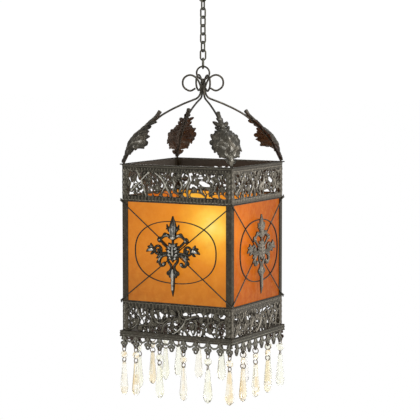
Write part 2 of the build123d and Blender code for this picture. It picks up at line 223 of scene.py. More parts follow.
def relief(name, strokes, bounds, res, base=0.5, backz=0.0, hmax=3.0, hscale=1.0, mapping=None, extra=None, back_follow=0.0):
    """Closed cast-looking relief cut to its own outline. Returns a mesh in metres placed by mapping."""
    x0, x1, y0, y1 = bounds
    nx, ny = int(round((x1 - x0) / res)) + 1, int(round((y1 - y0) / res)) + 1
    gx = np.linspace(x0, x1, nx); gy = np.linspace(y0, y1, ny)
    X, Y = np.meshgrid(gx, gy, indexing="ij")
    d, H = field(X, Y, strokes, hmax)
    if extra is not None:
        d, H = extra(X, Y, d, H)
    # snap grid points near the outline on to it
    gxx = np.gradient(d, gx, axis=0); gyy = np.gradient(d, gy, axis=1)
    gn = np.hypot(gxx, gyy) + 1e-6
    near = np.abs(d) < 0.62 * res
    XX = np.where(near, X - gxx / gn * d / np.maximum(gn, 0.6), X)
    YY = np.where(near, Y - gyy / gn * d / np.maximum(gn, 0.6), Y)
    XX = np.clip(XX, x0, x1); YY = np.clip(YY, y0, y1)
    inside = (d <= 0) | near
    cell = inside[:-1, :-1] & inside[1:, :-1] & inside[1:, 1:] & inside[:-1, 1:]
    dc = (d[:-1, :-1] + d[1:, :-1] + d[1:, 1:] + d[:-1, 1:]) / 4
    cell &= dc < 0.1 * res
    Ht = H * hscale * (~near | (d < -0.3 * res))
    idx = -np.ones(X.shape, int)
    used = np.zeros(X.shape, bool)
    used[:-1, :-1] |= cell; used[1:, :-1] |= cell; used[1:, 1:] |= cell; used[:-1, 1:] |= cell
    nv = used.sum()
    idx[used] = np.arange(nv)
    vx, vy, vh = XX[used], YY[used], Ht[used]
    top = np.stack([vx, vy, backz + base + vh], 1)
    bot = np.stack([vx, vy, backz + back_follow * vh], 1)
    ci, cj = np.nonzero(cell)
    a = idx[ci, cj]; b = idx[ci + 1, cj]; c = idx[ci + 1, cj + 1]; e = idx[ci, cj + 1]
    ft = np.stack([a, b, c, e], 1)
    fb = np.stack([a, e, c, b], 1) + nv
    walls = []
    cp = np.zeros((cell.shape[0] + 2, cell.shape[1] + 2), bool)
    cp[1:-1, 1:-1] = cell
    for (di, dj, p, q) in ((-1, 0, (0, 1), (0, 0)), (1, 0, (1, 0), (1, 1)), (0, -1, (0, 0), (1, 0)), (0, 1, (1, 1), (0, 1))):
        nb = cp[1 + di:cp.shape[0] - 1 + di, 1 + dj:cp.shape[1] - 1 + dj]
        wi, wj = np.nonzero(cell & ~nb)
        u = idx[wi + p[0], wj + p[1]]; v = idx[wi + q[0], wj + q[1]]
        walls.append(np.stack([v, u, u + nv, v + nv], 1))
    F = np.vstack([ft, fb] + walls)
    V = np.vstack([top, bot])
    # the relief attribute (height over its maximum, -1 on the back) later drives the patina and the painted shade and
    # highlight of the metal colour
    hn = np.concatenate([vh, np.full(nv, -1.0)]) / max(1e-3, (vh.max() if nv else 1))
    P = mapping(V) if mapping else V
    me = new_mesh(name, P * MM, F, True, {"relief": hn})
    return me


def side_map(side, off=0.0):
    """(x along the side, z up, outwards) in mm -> the object's own frame in mm."""
    def f(V):
        x, y, h = V[:, 0], V[:, 1], V[:, 2] + off
        zc = y - Z_HANG
        if side == "front":
            return np.stack([x, -D / 2 - h, zc], 1)
        if side == "back":
            return np.stack([-x, D / 2 + h, zc], 1)
        if side == "right":
            return np.stack([W / 2 + h, x, zc], 1)
        return np.stack([-W / 2 - h, -x, zc], 1)
    return f


SIDES = ("front", "back", "right", "left")
SPAN = {"front": W, "back": W, "right": D, "left": D}


# ------------------------------------------------------------------ materials
def nodes_of(name):
    mt = bpy.data.materials.new(name)
    mt.use_nodes = True
    nt = mt.node_tree
    bsdf = nt.nodes["Principled BSDF"]
    return mt, nt, bsdf


def N_(nt, kind, **kw):
    n = nt.nodes.new(kind)
    for k, v in kw.items():
        if k.startswith("i_"):
            n.inputs[k[2:].replace("_", " ")].default_value = v
        else:
            setattr(n, k, v)
    return n


def ramp(nt, fac, stops, interp="LINEAR"):
    r = nt.nodes.new("ShaderNodeValToRGB")
    r.color_ramp.interpolation = interp
    el = r.color_ramp.elements
    while len(el) > 1:
        el.remove(el[-1])
    el[0].position, el[0].color = stops[0][0], (*stops[0][1], 1)
    for p, c in stops[1:]:
        e = el.new(p)
        e.color = (*c, 1)
    nt.links.new(fac, r.inputs[0])
    return r.outputs[0]


def noise(nt, scale, detail=4.0, rough=0.55, dist=0.0, co=None):
    n = nt.nodes.new("ShaderNodeTexNoise")
    n.inputs["Scale"].default_value = scale
    n.inputs["Detail"].default_value = detail
    n.inputs["Roughness"].default_value = rough
    n.inputs["Distortion"].default_value = dist
    if co is None:
        co = nt.nodes.new("ShaderNodeTexCoord").outputs["Object"]
    nt.links.new(co, n.inputs["Vector"])
    return n.outputs["Fac"]


def mixc(nt, fac, a, b, mode="MIX"):
    n = nt.nodes.new("ShaderNodeMix")
    n.data_type = "RGBA"
    n.blend_type = mode
    for sock, v in ((n.inputs[0], fac), (n.inputs[6], a), (n.inputs[7], b)):
        if hasattr(v, "is_output"):
            nt.links.new(v, sock)
        elif isinstance(v, (int, float)):
            sock.default_value = v
        else:
            sock.default_value = (*v, 1)
    return n.outputs[2]


def mathn(nt, op, a, b=None, c=None, clamp=False):
    n = nt.nodes.new("ShaderNodeMath")
    n.operation = op
    n.use_clamp = clamp
    for s, v in zip(n.inputs, (a, b, c)):
        if v is None:
            continue
        if hasattr(v, "is_output"):
            nt.links.new(v, s)
        else:
            s.default_value = v
    return n.outputs[0]


def bump(nt, height, strength, dist, normal=None):
    b = nt.nodes.new("ShaderNodeBump")
    b.inputs["Strength"].default_value = strength
    b.inputs["Distance"].default_value = dist
    nt.links.new(height, b.inputs["Height"])
    if normal is not None:
        nt.links.new(normal, b.inputs["Normal"])
    return b.outputs[0]


def srgb(r, g, b):
    f = lambda v: (v / 255 / 12.92) if v <= 10 else (((v / 255) + 0.055) / 1.055) ** 2.4
    return (f(r), f(g), f(b))


def antique(name, dark, mid, light, inner, metallic=0.8, rlo=0.30, rhi=0.52, use_relief=True, warm=0.35, knee=0.0):
    mt, nt, bs = nodes_of(name)
    n1 = noise(nt, 260.0, 5.0, 0.6)
    n2 = noise(nt, 1400.0, 3.0, 0.6)
    if use_relief:
        at = nt.nodes.new("ShaderNodeAttribute")
        at.attribute_name = "relief"
        rel = at.outputs["Fac"]
        # colour by relief height: the dark low end is patina in the hollows and painted shade, the light top end is
        # rubbed metal and a painted highlight
        lvl = mathn(nt, "ADD", rel, mathn(nt, "MULTIPLY", mathn(nt, "SUBTRACT", n1, 0.5), 0.55))
        col = ramp(nt, lvl, [(0.0 + knee, dark), (0.16 + knee, tuple(v * .5 for v in mid)), (0.36 + knee, mid), (0.68 + knee * .4, mid), (1.0, light)])
        behind = mathn(nt, "LESS_THAN", rel, -0.05)
    else:
        lvl = mathn(nt, "MULTIPLY_ADD", mathn(nt, "SUBTRACT", n1, 0.5), 2.2, 0.5)
        col = ramp(nt, lvl, [(0.0, dark), (0.35, mid), (0.6, mid), (0.95, light)])
        behind = None
    # brown and green patina drifting over the metal
    col = mixc(nt, mathn(nt, "MULTIPLY", ramp(nt, noise(nt, 90.0, 3.0), [(0.45, (0, 0, 0)), (0.68, (1, 1, 1))]), warm), col, inner)
    if behind is not None:
        col = mixc(nt, behind, col, mixc(nt, n1, inner, tuple(v * 0.6 for v in inner)))
    nt.links.new(col, bs.inputs["Base Color"])
    bs.inputs["Metallic"].default_value = metallic
    r = mathn(nt, "MULTIPLY_ADD", n2, rhi - rlo, rlo)
    nt.links.new(r, bs.inputs["Roughness"])
    nt.links.new(bump(nt, mathn(nt, "ADD", n2, mathn(nt, "MULTIPLY", n1, 1.5)), 0.35, 0.00025), bs.inputs["Normal"])
    return mt


# front and back take the dark, high-contrast copies with painted shade and highlight; the side copies paint the key
# light on the right and left faces as lighter, flatter mid tones and a duller highlight colour
M_CAST = antique("antique_cast_metal", srgb(18, 16, 12), srgb(82, 78, 68), srgb(186, 184, 174), srgb(90, 84, 76), metallic=0.85, rlo=0.25, rhi=0.42, warm=0.2, knee=0.05)
M_CAST_SIDE_PAINTED_LIGHT = antique("antique_cast_metal_side_painted_light", srgb(20, 18, 14), srgb(90, 85, 76), srgb(124, 119, 110), srgb(90, 84, 76), metallic=0.8, rlo=0.40, rhi=0.55, warm=0.2)
M_FRINGE = antique("antique_fringe_metal", srgb(16, 15, 11), srgb(66, 63, 55), srgb(130, 128, 118), srgb(70, 52, 42), metallic=0.85, rlo=0.27, rhi=0.45, warm=0.2)
M_MED = antique("antique_medallion_metal", srgb(10, 9, 7), srgb(50, 48, 42), srgb(190, 188, 180), srgb(64, 46, 36), metallic=0.85, rlo=0.20, rhi=0.34, warm=0.12, knee=0.27)
M_MED_SIDE_PAINTED_LIGHT = antique("antique_medallion_metal_side_painted_light", srgb(34, 31, 26), srgb(86, 80, 71), srgb(118, 111, 100), srgb(80, 62, 50), metallic=0.75, rlo=0.46, rhi=0.6, warm=0.15)
M_LEAF = antique("antique_leaf_metal", srgb(14, 13, 10), srgb(60, 57, 49), srgb(150, 147, 139), srgb(88, 76, 66), metallic=0.76, rlo=0.32, rhi=0.48, warm=0.2, knee=0.12)
M_WIRE = antique("oxidised_wire", srgb(28, 27, 22), srgb(58, 55, 48), srgb(90, 86, 76), srgb(52, 40, 32), use_relief=False, rlo=0.3, rhi=0.42)
M_CHAIN = antique("oxidised_chain", srgb(28, 28, 22), srgb(62, 61, 52), srgb(100, 98, 86), srgb(56, 46, 35), use_relief=False, rlo=0.26, rhi=0.4)
M_POST = antique("oxidised_sheet", srgb(40, 36, 29), srgb(64, 58, 47), srgb(86, 79, 66), srgb(68, 54, 42), use_relief=False, rlo=0.36, rhi=0.5, warm=0.25)
M_TRAY = antique("brown_sheet", srgb(40, 30, 24), srgb(82, 62, 48), srgb(112, 90, 70), srgb(66, 46, 36), use_relief=False, rlo=0.4, rhi=0.6)


def ring_metal():
    mt, nt, bs = nodes_of("gilt_wire")
    n1 = noise(nt, 700.0, 3.0)
    nt.links.new(mixc(nt, n1, srgb(52, 42, 28), srgb(112, 92, 62)), bs.inputs["Base Color"])
    bs.inputs["Metallic"].default_value = 0.9
    nt.links.new(mathn(nt, "MULTIPLY_ADD", n1, 0.2, 0.25), bs.inputs["Roughness"])
    nt.links.new(bump(nt, n1, 0.2, 0.0001), bs.inputs["Normal"])
    return mt


M_GILT = ring_metal()


def crystal_mat(name, tint, edge):
    mt, nt, bs = nodes_of(name)
    at = nt.nodes.new("ShaderNodeAttribute")
    at.attribute_name = "facet"
    n1 = noise(nt, 150.0, 2.0)
    # painted amber reflections: random facets, and whole facet strips on the drops, take the warm second colour
    f = ramp(nt, mathn(nt, "MULTIPLY_ADD", n1, 0.25, mathn(nt, "SUBTRACT", at.outputs["Fac"], 0.12)), [(0.62, (0.02, 0.02, 0.02)), (0.80, (0.8, 0.8, 0.8))])
    nt.links.new(mixc(nt, f, tint, edge), bs.inputs["Base Color"])
    bs.inputs["Transmission Weight"].default_value = 0.92
    bs.inputs["IOR"].default_value = 1.4
    nt.links.new(mathn(nt, "MULTIPLY", n1, 0.08), bs.inputs["Roughness"])
    return mt


M_CRYS = [crystal_mat("crystal_clear", srgb(252, 252, 241), srgb(242, 238, 212)),
          crystal_mat("crystal_champagne", srgb(254, 252, 243), srgb(236, 206, 146)),
          crystal_mat("crystal_pearl", srgb(254, 253, 250), srgb(246, 232, 212))]


def glass_mat(side):
    mt, nt, bs = nodes_of("amber_glass_" + side)
    tc = nt.nodes.new("ShaderNodeTexCoord")
    co = tc.outputs["Object"]
    # painted glow: the flame's light through the glass is painted into the emission colour by the distance from the
    # place where the flame shines strongest on this side
    hot = {"front": (0.047, -0.068, 0.140), "right": (0.075, -0.052, 0.130),
           "back": (-0.047, 0.068, 0.140), "left": (-0.075, 0.052, 0.130)}[side]
    sub = nt.nodes.new("ShaderNodeVectorMath"); sub.operation = "DISTANCE"
    nt.links.new(co, sub.inputs[0])
    sub.inputs[1].default_value = (hot[0], hot[1], hot[2] - Z_HANG * MM)
    dist = sub.outputs["Value"]
    wob = noise(nt, 38.0, 3.0, 0.5, 0.4, co)
    dd = mathn(nt, "ADD", dist, mathn(nt, "MULTIPLY", mathn(nt, "SUBTRACT", wob, 0.5), 0.030))
    # the sides get darker, more orange painted glow colours than front and back
    if side in ("front", "back"):
        stops = [(0.0, srgb(255, 228, 122)), (0.012 / 0.16, srgb(255, 210, 82)), (0.028 / 0.16, srgb(246, 172, 50)), (0.050 / 0.16, srgb(228, 140, 36)),
                 (0.080 / 0.16, srgb(212, 127, 34)), (0.12 / 0.16, srgb(198, 117, 34)), (1.0, srgb(176, 102, 34))]
    else:
        stops = [(0.0, srgb(226, 130, 38)), (0.020 / 0.16, srgb(212, 112, 30)), (0.05 / 0.16, srgb(190, 96, 24)), (0.10 / 0.16, srgb(170, 84, 24)), (1.0, srgb(150, 70, 22))]
    col = ramp(nt, mathn(nt, "DIVIDE", dd, 0.16), stops)
    # painted shade: the painted glow is darker and browner towards the bottom
    sep = nt.nodes.new("ShaderNodeSeparateXYZ"); nt.links.new(co, sep.inputs[0])
    low = mathn(nt, "MULTIPLY_ADD", sep.outputs["Z"], -1 / 0.06, (0.108 - Z_HANG * MM) / 0.06, clamp=True)
    col = mixc(nt, mathn(nt, "MULTIPLY", low, 0.75), col, mixc(nt, 1.0, col, (0.66, 0.68, 0.85) if side in ("front", "back") else (0.90, 0.90, 0.55), "MULTIPLY"))
    mott = noise(nt, 120.0, 3.0, 0.6, 0.6, co)
    col = mixc(nt, mathn(nt, "MULTIPLY", ramp(nt, mott, [(0.40, (0, 0, 0)), (0.72, (1, 1, 1))]), 0.14), col, srgb(246, 170, 70))
    col = mixc(nt, mathn(nt, "MULTIPLY", ramp(nt, noise(nt, 70.0, 3.0, 0.6, 0.3, co), [(0.45, (0, 0, 0)), (0.8, (1, 1, 1))]), 0.20), col, srgb(186, 92, 24))
    # the base colour is the same painted glow, darkened; the glass gives off the painted glow as emission
    nt.links.new(mixc(nt, 1.0, col, (0.12, 0.09, 0.05), "MULTIPLY"), bs.inputs["Base Color"])
    nt.links.new(col, bs.inputs["Emission Color"])
    bs.inputs["Emission Strength"].default_value = 0.93
    bs.inputs["Roughness"].default_value = 0.3
    bs.inputs["IOR"].default_value = 1.5
    bs.inputs["Specular IOR Level"].default_value = 0.16 if side in ("front", "back") else 0.09
    bs.inputs["Transmission Weight"].default_value = 0.0
    ham = nt.nodes.new("ShaderNodeTexVoronoi")
    ham.inputs["Scale"].default_value = 210.0
    nt.links.new(co, ham.inputs["Vector"])
    h = mathn(nt, "ADD", ham.outputs["Distance"], mathn(nt, "MULTIPLY", mott, 0.8))
    nt.links.new(bump(nt, h, 0.35, 0.0006), bs.inputs["Normal"])
    return mt


# ------------------------------------------------------------------ pierced bands
HOLES_UP = [
    [(-62.8, 35, .8), (-64.9, 28.3, 1.1), (-61.1, 22.3, 1.4), (-63.3, 15.8, .9)],
    [(-53.8, 30, .6), (-53.2, 25.4, 1.5), (-50.2, 25.2, 1.4), (-49.2, 28.6, .7)],
    [(-56.5, 19.6, .7), (-56.3, 19.0, .7)], [(-43.0, 22.8, 1.1), (-44.3, 19.4, 1.3)], [(-40.2, 20, .5), (-39.1, 14.6, 1.6)],
    [(-32.9, 25.6, .8), (-32.3, 21.4, 2.0), (-34.2, 19.6, .8)], [(-29.2, 30.2, 1.2), (-25.9, 25.4, .6)], [(-21.5, 25.2, 1.0), (-21.0, 23.2, 1.2)],
    [(-14.4, 27.6, 1.2), (-12.0, 26.2, .9), (-9.4, 31.4, .6)], [(-6.1, 22.8, 1.1), (-6.2, 18.4, 1.3)], [(-5.2, 34.0, 1.4), (-4.8, 32.6, 1.6)],
    [(9.4, 28.2, 1.2), (12.3, 25.4, 2.0), (15.4, 29.8, .7)], [(18.2, 34.6, .9), (24, 35.0, 1.2), (30, 35.0, .6)], [(18.6, 34.0, .9), (20.2, 27.6, .9)],
    [(29.6, 30.4, .4), (35.6, 30.8, .9)], [(33, 25.0, 1.5), (36.5, 23.8, 2.3), (41, 22.6, 1.7), (45, 21.9, .9)],
    [(59.4, 25.6, .9), (59.8, 25.2, .9)], [(64.4, 29.2, .6), (65.4, 24.0, 1.4), (66.8, 23.4, .8)],
    [(-37.6, 8.8, 1.5), (-34.6, 8.4, 1.2)], [(-17, 8.6, 1.6), (-13.8, 8.4, 1.2)], [(-3.4, 8.8, 1.7), (-1.0, 8.4, 1.3)],
    [(11.4, 10.2, 1.7), (12.8, 8.9, 1.2)], [(21.2, 9.7, 1.8), (31.5, 9.6, 1.9), (38.4, 7.9, .5)], [(50, 9.2, .8), (54.2, 9.8, 1.6), (56.4, 8.6, 1.2)],
    [(61, 9.8, 1.7), (63.5, 8.6, 1.5), (67, 7.4, .5)], [(41.2, 16.6, 1.3), (42.0, 14.8, 1.9)], [(-52.5, 9.0, 1.2), (-49.4, 8.4, .8)],
]
HOLES_LO = [
    [(-63.2, 33, .8), (-64, 27.4, 1.2), (-61, 25.2, 2.0), (-57.3, 29.2, 1.0), (-55.4, 32.8, .5)], [(-61, 24, 1.2), (-59.2, 21.6, .5)],
    [(-48.5, 33, .7), (-48.7, 29.8, .7)], [(-44.6, 33, .7), (-43.8, 28.6, .9)], [(-27.4, 30.4, 1.0), (-27.0, 29.8, 1.0)], [(-48.4, 20, .6), (-48.3, 16.6, 1.8)],
    [(-41.6, 22.4, .7), (-39.8, 24.6, .8)], [(-39.6, 17.6, .8), (-36.2, 21.8, .9)], [(-66.4, 12.6, .7), (-65.6, 10.8, .8)],
    [(-23.2, 31.6, .8), (-20.9, 27, 1.7), (-18.2, 32.0, .8)], [(-20.9, 27, 1.6), (-21.2, 22.6, .5)], [(-12.6, 27.4, 1.7), (-8.4, 27.0, 1.3)],
    [(-33.2, 8.2, 1.5), (-32.0, 7.6, 1.2)], [(-27.2, 10.4, 1.2), (-24.2, 12.8, 1.0)], [(-17, 8.6, 1.2), (-13.6, 4.2, .6)], [(-9.8, 15.4, 1.2), (-8.8, 14.0, .8)],
    [(-8.4, 9.8, 1.2), (-5.6, 9.9, .9)], [(-2.6, 18.0, 1.0), (.4, 16.9, 1.4), (4.6, 18.9, .7)], [(5.2, 5.6, 1.5), (5.6, 5.2, 1.4)], [(10.4, 9.0, .7), (11.6, 5.2, 1.8)],
    [(16, 19.2, .9), (16.2, 16.8, 1.4)], [(15.4, 13.2, 1.7), (18.6, 8.6, 1.5), (22, 4.6, .5)], [(8.4, 29.4, .6), (12.2, 30.4, 1.7), (13.6, 30.8, 1.4)],
    [(18.8, 30.4, 1.7), (22, 31.4, 1.5), (26.4, 31.2, .7)], [(30.0, 15.4, 1.6), (32.0, 10.6, 2.3), (30.6, 6.2, 1.8)], [(33.6, 18.8, .9), (35, 18.6, .5)],
    [(45.8, 31.0, 1.6), (47.2, 33.4, .6)], [(41.2, 8.6, 1.6), (46.6, 7.0, 1.6), (51.6, 4.8, .4)], [(50.6, 18.9, 1.1), (50.8, 18.2, 1.1)],
    [(58.4, 19.4, .7), (62.4, 17.4, 1.3), (66.2, 18.8, .5)], [(61.4, 11.4, 2.2), (64.6, 10.9, 2.2)],
]
STEMS_UP = [
    [(-61.8, 12.6, 1.7), (-60.2, 14.2, 1.0), (-50, 23.8, 1.1), (-40, 33, 1.1), (-38.2, 34.4, 1.8)],
    [(-55, 37.5, .9), (-51, 31, 1.0), (-47.8, 24, 1.0), (-44.0, 14, 1.0), (-41.5, 5.6, .8)],
    [(-30, 35, .8), (-25.2, 32.5, 1.0), (-18.2, 26.4, 1.1), (-14.5, 20, 1.1), (-9.4, 11, .9), (-7.6, 6.0, .7)],
    [(-7.6, 36.2, .8), (-11, 28, .9), (-14.5, 20, 1.1), (-18.2, 13.8, .9), (-23.4, 7, .7)],
    [(6, 25.4, .9), (8.0, 20, 1.0), (4.4, 13.4, .8)], [(17.4, 31.4, .8), (16.4, 25.4, 1.1), (11.6, 18.4, .9), (8.4, 12.0, .6)],
    [(30, 32.6, .6), (24, 30.4, .8), (18.8, 24.4, 1.0), (15.2, 14.4, .9), (15.8, 5.6, .7)], [(42.6, 34, .8), (44.6, 29.6, 1.1), (42.6, 24.8, .7)],
    [(33.6, 20.6, .8), (34.4, 14.6, .9), (37.6, 10.8, .7)], [(48.0, 30.4, .8), (51.0, 26, 1.0), (49.4, 21.0, .8)], [(53.2, 22, .8), (52.4, 16.6, .9), (46.8, 12.0, .7)],
    [(57.4, 33.4, .8), (60.4, 33.8, 1.0), (61.4, 29.6, .8)], [(58.6, 18.2, .8), (57.6, 12.2, .8), (59.0, 6.6, .7)], [(-31.2, 15.2, .8), (-35.8, 17.2, .8), (-37.8, 11.6, .8), (-33.6, 6.6, .6)],
    [(-4, 27, .9), (-1.8, 22, 1.0), (-4.2, 15, .9), (-.6, 12.2, .7)],
]
STEMS_LO = [
    [(-70, 6, .8), (-62, 8.4, 1.0), (-55.4, 13.8, 1.0), (-52.6, 21.6, 1.0), (-56.4, 25.4, .8)], [(-54.0, 33.8, .9), (-52.4, 27.8, 1.1), (-47.6, 24.0, 1.0), (-43.2, 26.4, .9)],
    [(-45.2, 12.4, .9), (-37.4, 15.2, 1.0), (-34.0, 22.6, 1.0), (-36.4, 28.6, .8)], [(-32.0, 24.6, .8), (-28.6, 19.6, 1.0), (-20.6, 17.8, 1.0), (-14.4, 21.4, .9), (-12.4, 23.6, .7)],
    [(-21, 4.6, .8), (-18.6, 13.0, 1.0), (-12.6, 19.6, 1.0), (-5.0, 22.0, .9), (-2.4, 27.4, .8)], [(-3.4, 6.0, 1.2), (4.2, 11.6, 1.3), (10.4, 18.6, 1.2), (12.8, 24.8, .9)],
    [(3.4, 33.6, .9), (4.6, 27.4, 1.0), (9.6, 23.8, .9), (17.6, 25.8, 1.1), (26.4, 28.8, .8)], [(13.2, 11.4, .9), (14.8, 6.8, .8)], [(24.2, 24.4, .9), (27.6, 19.8, 1.0), (26.0, 12.6, .9), (23.8, 7.4, .7)],
    [(36.0, 6.4, .8), (38.2, 14.4, 1.0), (43.8, 21.4, 1.0), (51.4, 24.4, .9)], [(42.0, 32.4, .8), (43.8, 25.8, 1.0), (42.6, 18.4, .8)], [(54.6, 6.8, .9), (55.0, 14.6, 1.0), (58.8, 23.2, 1.0), (65.2, 26.4, .8)],
    [(68.4, 30.2, .9), (66.8, 22.4, .9), (69.0, 13.0, .9), (66.2, 5.2, .7)],
]


def volutes(points, w=0.75):
    out = []
    for (x, y, r, a0, turn) in points:
        out.append(spiral(x, y, r, r * 0.18, a0, a0 + turn, w, w * 1.25, 22))
        out.append(blob(x, y, w * 1.25))
    return out


VOL_UP = [(-51.3, 29.0, 2.4, 30, -400), (-58.5, 27.6, 3.0, 210, 420), (-66.2, 20.5, 3.0, 100, -380), (-36.2, 27.4, 3.2, 240, -420), (-25.4, 16.4, 3.8, 150, 400), (-20.6, 30.2, 2.6, 300, -380),
          (-2.2, 29.4, 3.0, 130, 420), (3.2, 33.0, 2.6, 0, -400), (21.8, 31.4, 2.2, 230, -360), (27.2, 24.8, 3.6, 90, -420), (24.2, 15.4, 3.2, 260, 400), (39.2, 29.4, 2.8, 20, 380),
          (46.2, 16.8, 3.4, 190, -420), (54.6, 29.4, 2.8, 90, 400), (62.6, 17.0, 3.4, 150, -420), (-68.4, 33.2, 3.0, 250, 380), (8.6, 8.0, 2.4, 90, -380), (70.2, 33.0, 2.8, 200, -380)]
VOL_LO = [(-59.0, 29.4, 2.0, 40, -380), (-57.6, 17.4, 3.4, 200, 420), (-50.6, 10.0, 3.2, 300, -420), (-33.6, 30.4, 2.8, 90, 400), (-32.4, 15.4, 3.2, 230, -420), (-15.2, 32.6, 2.4, 20, 380),
          (-5.6, 31.2, 2.8, 180, -400), (-9.4, 22.6, 2.2, 90, 380), (2.0, 22.4, 3.2, 250, 420), (9.4, 14.4, 2.2, 60, -360), (21.8, 17.0, 3.4, 130, 420), (34.2, 25.4, 3.4, 300, -420),
          (45.4, 13.6, 2.8, 200, 400), (52.6, 30.2, 3.4, 100, -420), (57.0, 27.2, 2.2, 320, 380), (70.0, 8.4, 2.6, 90, -380), (-71.4, 18.2, 2.8, 280, 400), (37.4, 33.0, 2.2, 0, 380)]


def leaf_fill(n, x1, y0, y1, seed, gap=3.6):
    """Lobed leaf strokes set between the stems, turning with a slow swirl."""
    r = np.random.RandomState(seed)
    pts = []
    tries = 0
    while len(pts) < n and tries < 9000:
        tries += 1
        x, y = r.uniform(-x1, x1), r.uniform(y0, y1)
        if all((x - a) ** 2 + (y - b) ** 2 > gap ** 2 for a, b in pts):
            pts.append((x, y))
    out = []
    for x, y in pts:
        a = 1.3 * math.sin(x * 0.19 + 0.7) + 1.7 * math.cos(y * 0.21 + x * 0.07) + r.uniform(-.5, .5)
        L = r.uniform(2.0, 3.4)
        bend = r.uniform(-.9, .9)
        c, s = math.cos(a), math.sin(a)
        p = [(-L, 0, .4), (-L * .2, bend * .5, 1.25), (L, bend * 1.6, .3)]
        out.append(S([(x + u * c - v * s, y + u * s + v * c, w) for u, v, w in p], h=.85, n=6))
    return out


def linked(solid, seed):
    """Keeps what hangs together with the borders."""
    reach = seed & solid
    while True:
        g = reach.copy()
        g[1:] |= reach[:-1]; g[:-1] |= reach[1:]; g[:, 1:] |= reach[:, :-1]; g[:, :-1] |= reach[:, 1:]
        g &= solid
        if (g == reach).all():
            return reach
        reach = g


SLITS = [[(-43, 33.4, .7), (-36, 33.2, .7)], [(-20, 34.4, .6), (-16, 34.2, .6)], [(-9, 34.6, .7), (1.5, 34.4, .7)]]


def band_mesh(name, upper, span, side, res=0.42):
    H = 43.4 if upper else 41.5
    far = side in ("back", "left")
    k_ = 1.55 if far else 1.3 if side == "front" else 1.5
    holes = [S([(a_, b_, c_ * k_) for a_, b_, c_ in p], n=6) for p in (HOLES_UP if upper else HOLES_LO)]
    if far and upper:
        holes = [h_ for h_ in holes if h_["y"].max() < 31.5] + [S([(-a_, b_, c_) for a_, b_, c_ in p], n=5) for p in SLITS]
    stems = [S([(a_, b_, c_ * (1.15 if upper else 1.0)) for a_, b_, c_ in p], h=1.45 if upper else 1.32, n=8) for p in (STEMS_UP if upper else STEMS_LO)]
    strokes = leaf_fill(105 if far else 150, 73.0, 6.5, H - 6.0, 11 if upper else 5, 4.2 if far else 3.5)
    vol = volutes(VOL_UP if upper else VOL_LO, 1.05)
    strokes += vol + stems
    for rx, ry in (((-25.4, 16.4), (42.4, 17.6)) if upper else ((2.0, 22.4), (-57.6, 17.4))):
        for k in range(6):
            a = k * math.pi / 3
            strokes.append(S([(rx + 1.2 * math.cos(a), ry + 1.2 * math.sin(a), .7), (rx + 3.2 * math.cos(a), ry + 3.2 * math.sin(a), 1.1)], h=1.0))
        strokes.append(blob(rx, ry, 1.6, 1.4))
    edge = []
    if upper:
        for i in range(-15, 16):
            edge.append(S([(i * 4.75, 2.2, 1.1), (i * 4.75 + .2, 4.4, 1.3)], h=.95, n=3))
        for i in range(-18, 19):
            edge.append(blob(i * 3.95, 38.8, 1.15, 1.0))
        edge += [S([(-75, .6, .8), (75, .6, .8)], h=1.1, n=2), S([(-75, H - .9, 1.0), (75, H - .9, 1.0)], h=.9, n=2), S([(-75, 36.9, .5), (75, 36.9, .5)], h=1.2, n=2)]
    else:
        for i in range(-15, 16):
            edge.append(S([(i * 4.75 + .8, 36.8, 1.0), (i * 4.75 + .4, 38.8, 1.2)], h=.9, n=3))
        edge += [S([(-75, H - .7, .8), (75, H - .7, .8)], h=1.1, n=2), S([(-75, 3.4, .6), (75, 3.4, .6)], h=1.1, n=2)]
    for sx in (-1, 1):
        x = sx * 71.2
        for k in range(5):
            y = 8 + k * 6.6
            edge.append(S([(x, y - 2.5, .5), (x + sx * 1.2, y, 1.7), (x + sx * 3.0, y + 3.4, .5)], h=.85, n=5))
            edge.append(S([(x, y - 1.5, .5), (x - sx * 1.6, y + 1.2, 1.4), (x - sx * 2.6, y + 4.0, .4)], h=.8, n=5))
        edge.append(S([(x, 4, .8), (x, 37, .8)], h=1.2, n=2))
    sc_ = span / 150.0

    def extra(X, Y, d, Hh):
        Xs = X / sc_
        dh, _ = field(Xs, Y, holes, 3)
        dv, _ = field(Xs, Y, vol + stems, 3)
        rect = np.maximum(np.abs(X) - span / 2 + .02, np.maximum(-Y, Y - H))
        lo_b, hi_b = (5.8, 31.4 if far else 36.2) if upper else (4.6, 34.4)
        zone = np.minimum(np.minimum(Y - lo_b, hi_b - Y), 69.4 - np.abs(Xs))
        if far:
            fil = np.minimum(np.maximum(d + .15, -dh), dv - .1)
            body = np.minimum(fil, np.maximum(zone, -dh))
        else:
            body = -dh
            # small pockets between the leaves, only where nothing is near
            ease = .35 if side == "right" else .12
            pocket = np.minimum(np.minimum(d - .55 + ease, dv - .35 + ease * .5), np.minimum(zone - 1.0, dh - 1.1 + ease))
            body = np.maximum(body, pocket)
        body = np.maximum(rect, body)
        ok = linked(body < .1, np.abs(np.abs(Y - H / 2) - H / 2) < 2.0)
        body = np.where((body < .1) & ~ok, 1.0, body)
        rim = .85 * np.exp(-((dh - .75) / .5) ** 2)
        Hh = np.maximum(np.maximum(Hh, .12), rim)
        Hh = np.where(zone < 0, np.maximum(Hh, .36), Hh)
        OPENS[name] = float((body > 0).mean())
        return body, Hh
    strokes = shift(strokes + edge, sx=sc_)
    mp0 = side_map(side)
    zoff = 165.0 if upper else 0.0

    def mp(V):
        V = V.copy()
        V[:, 1] += zoff
        return mp0(V)
    return relief(name, strokes, (-span / 2, span / 2, 0, H), res, base=.95, backz=-1.1, hmax=1.7, mapping=mp, extra=extra)


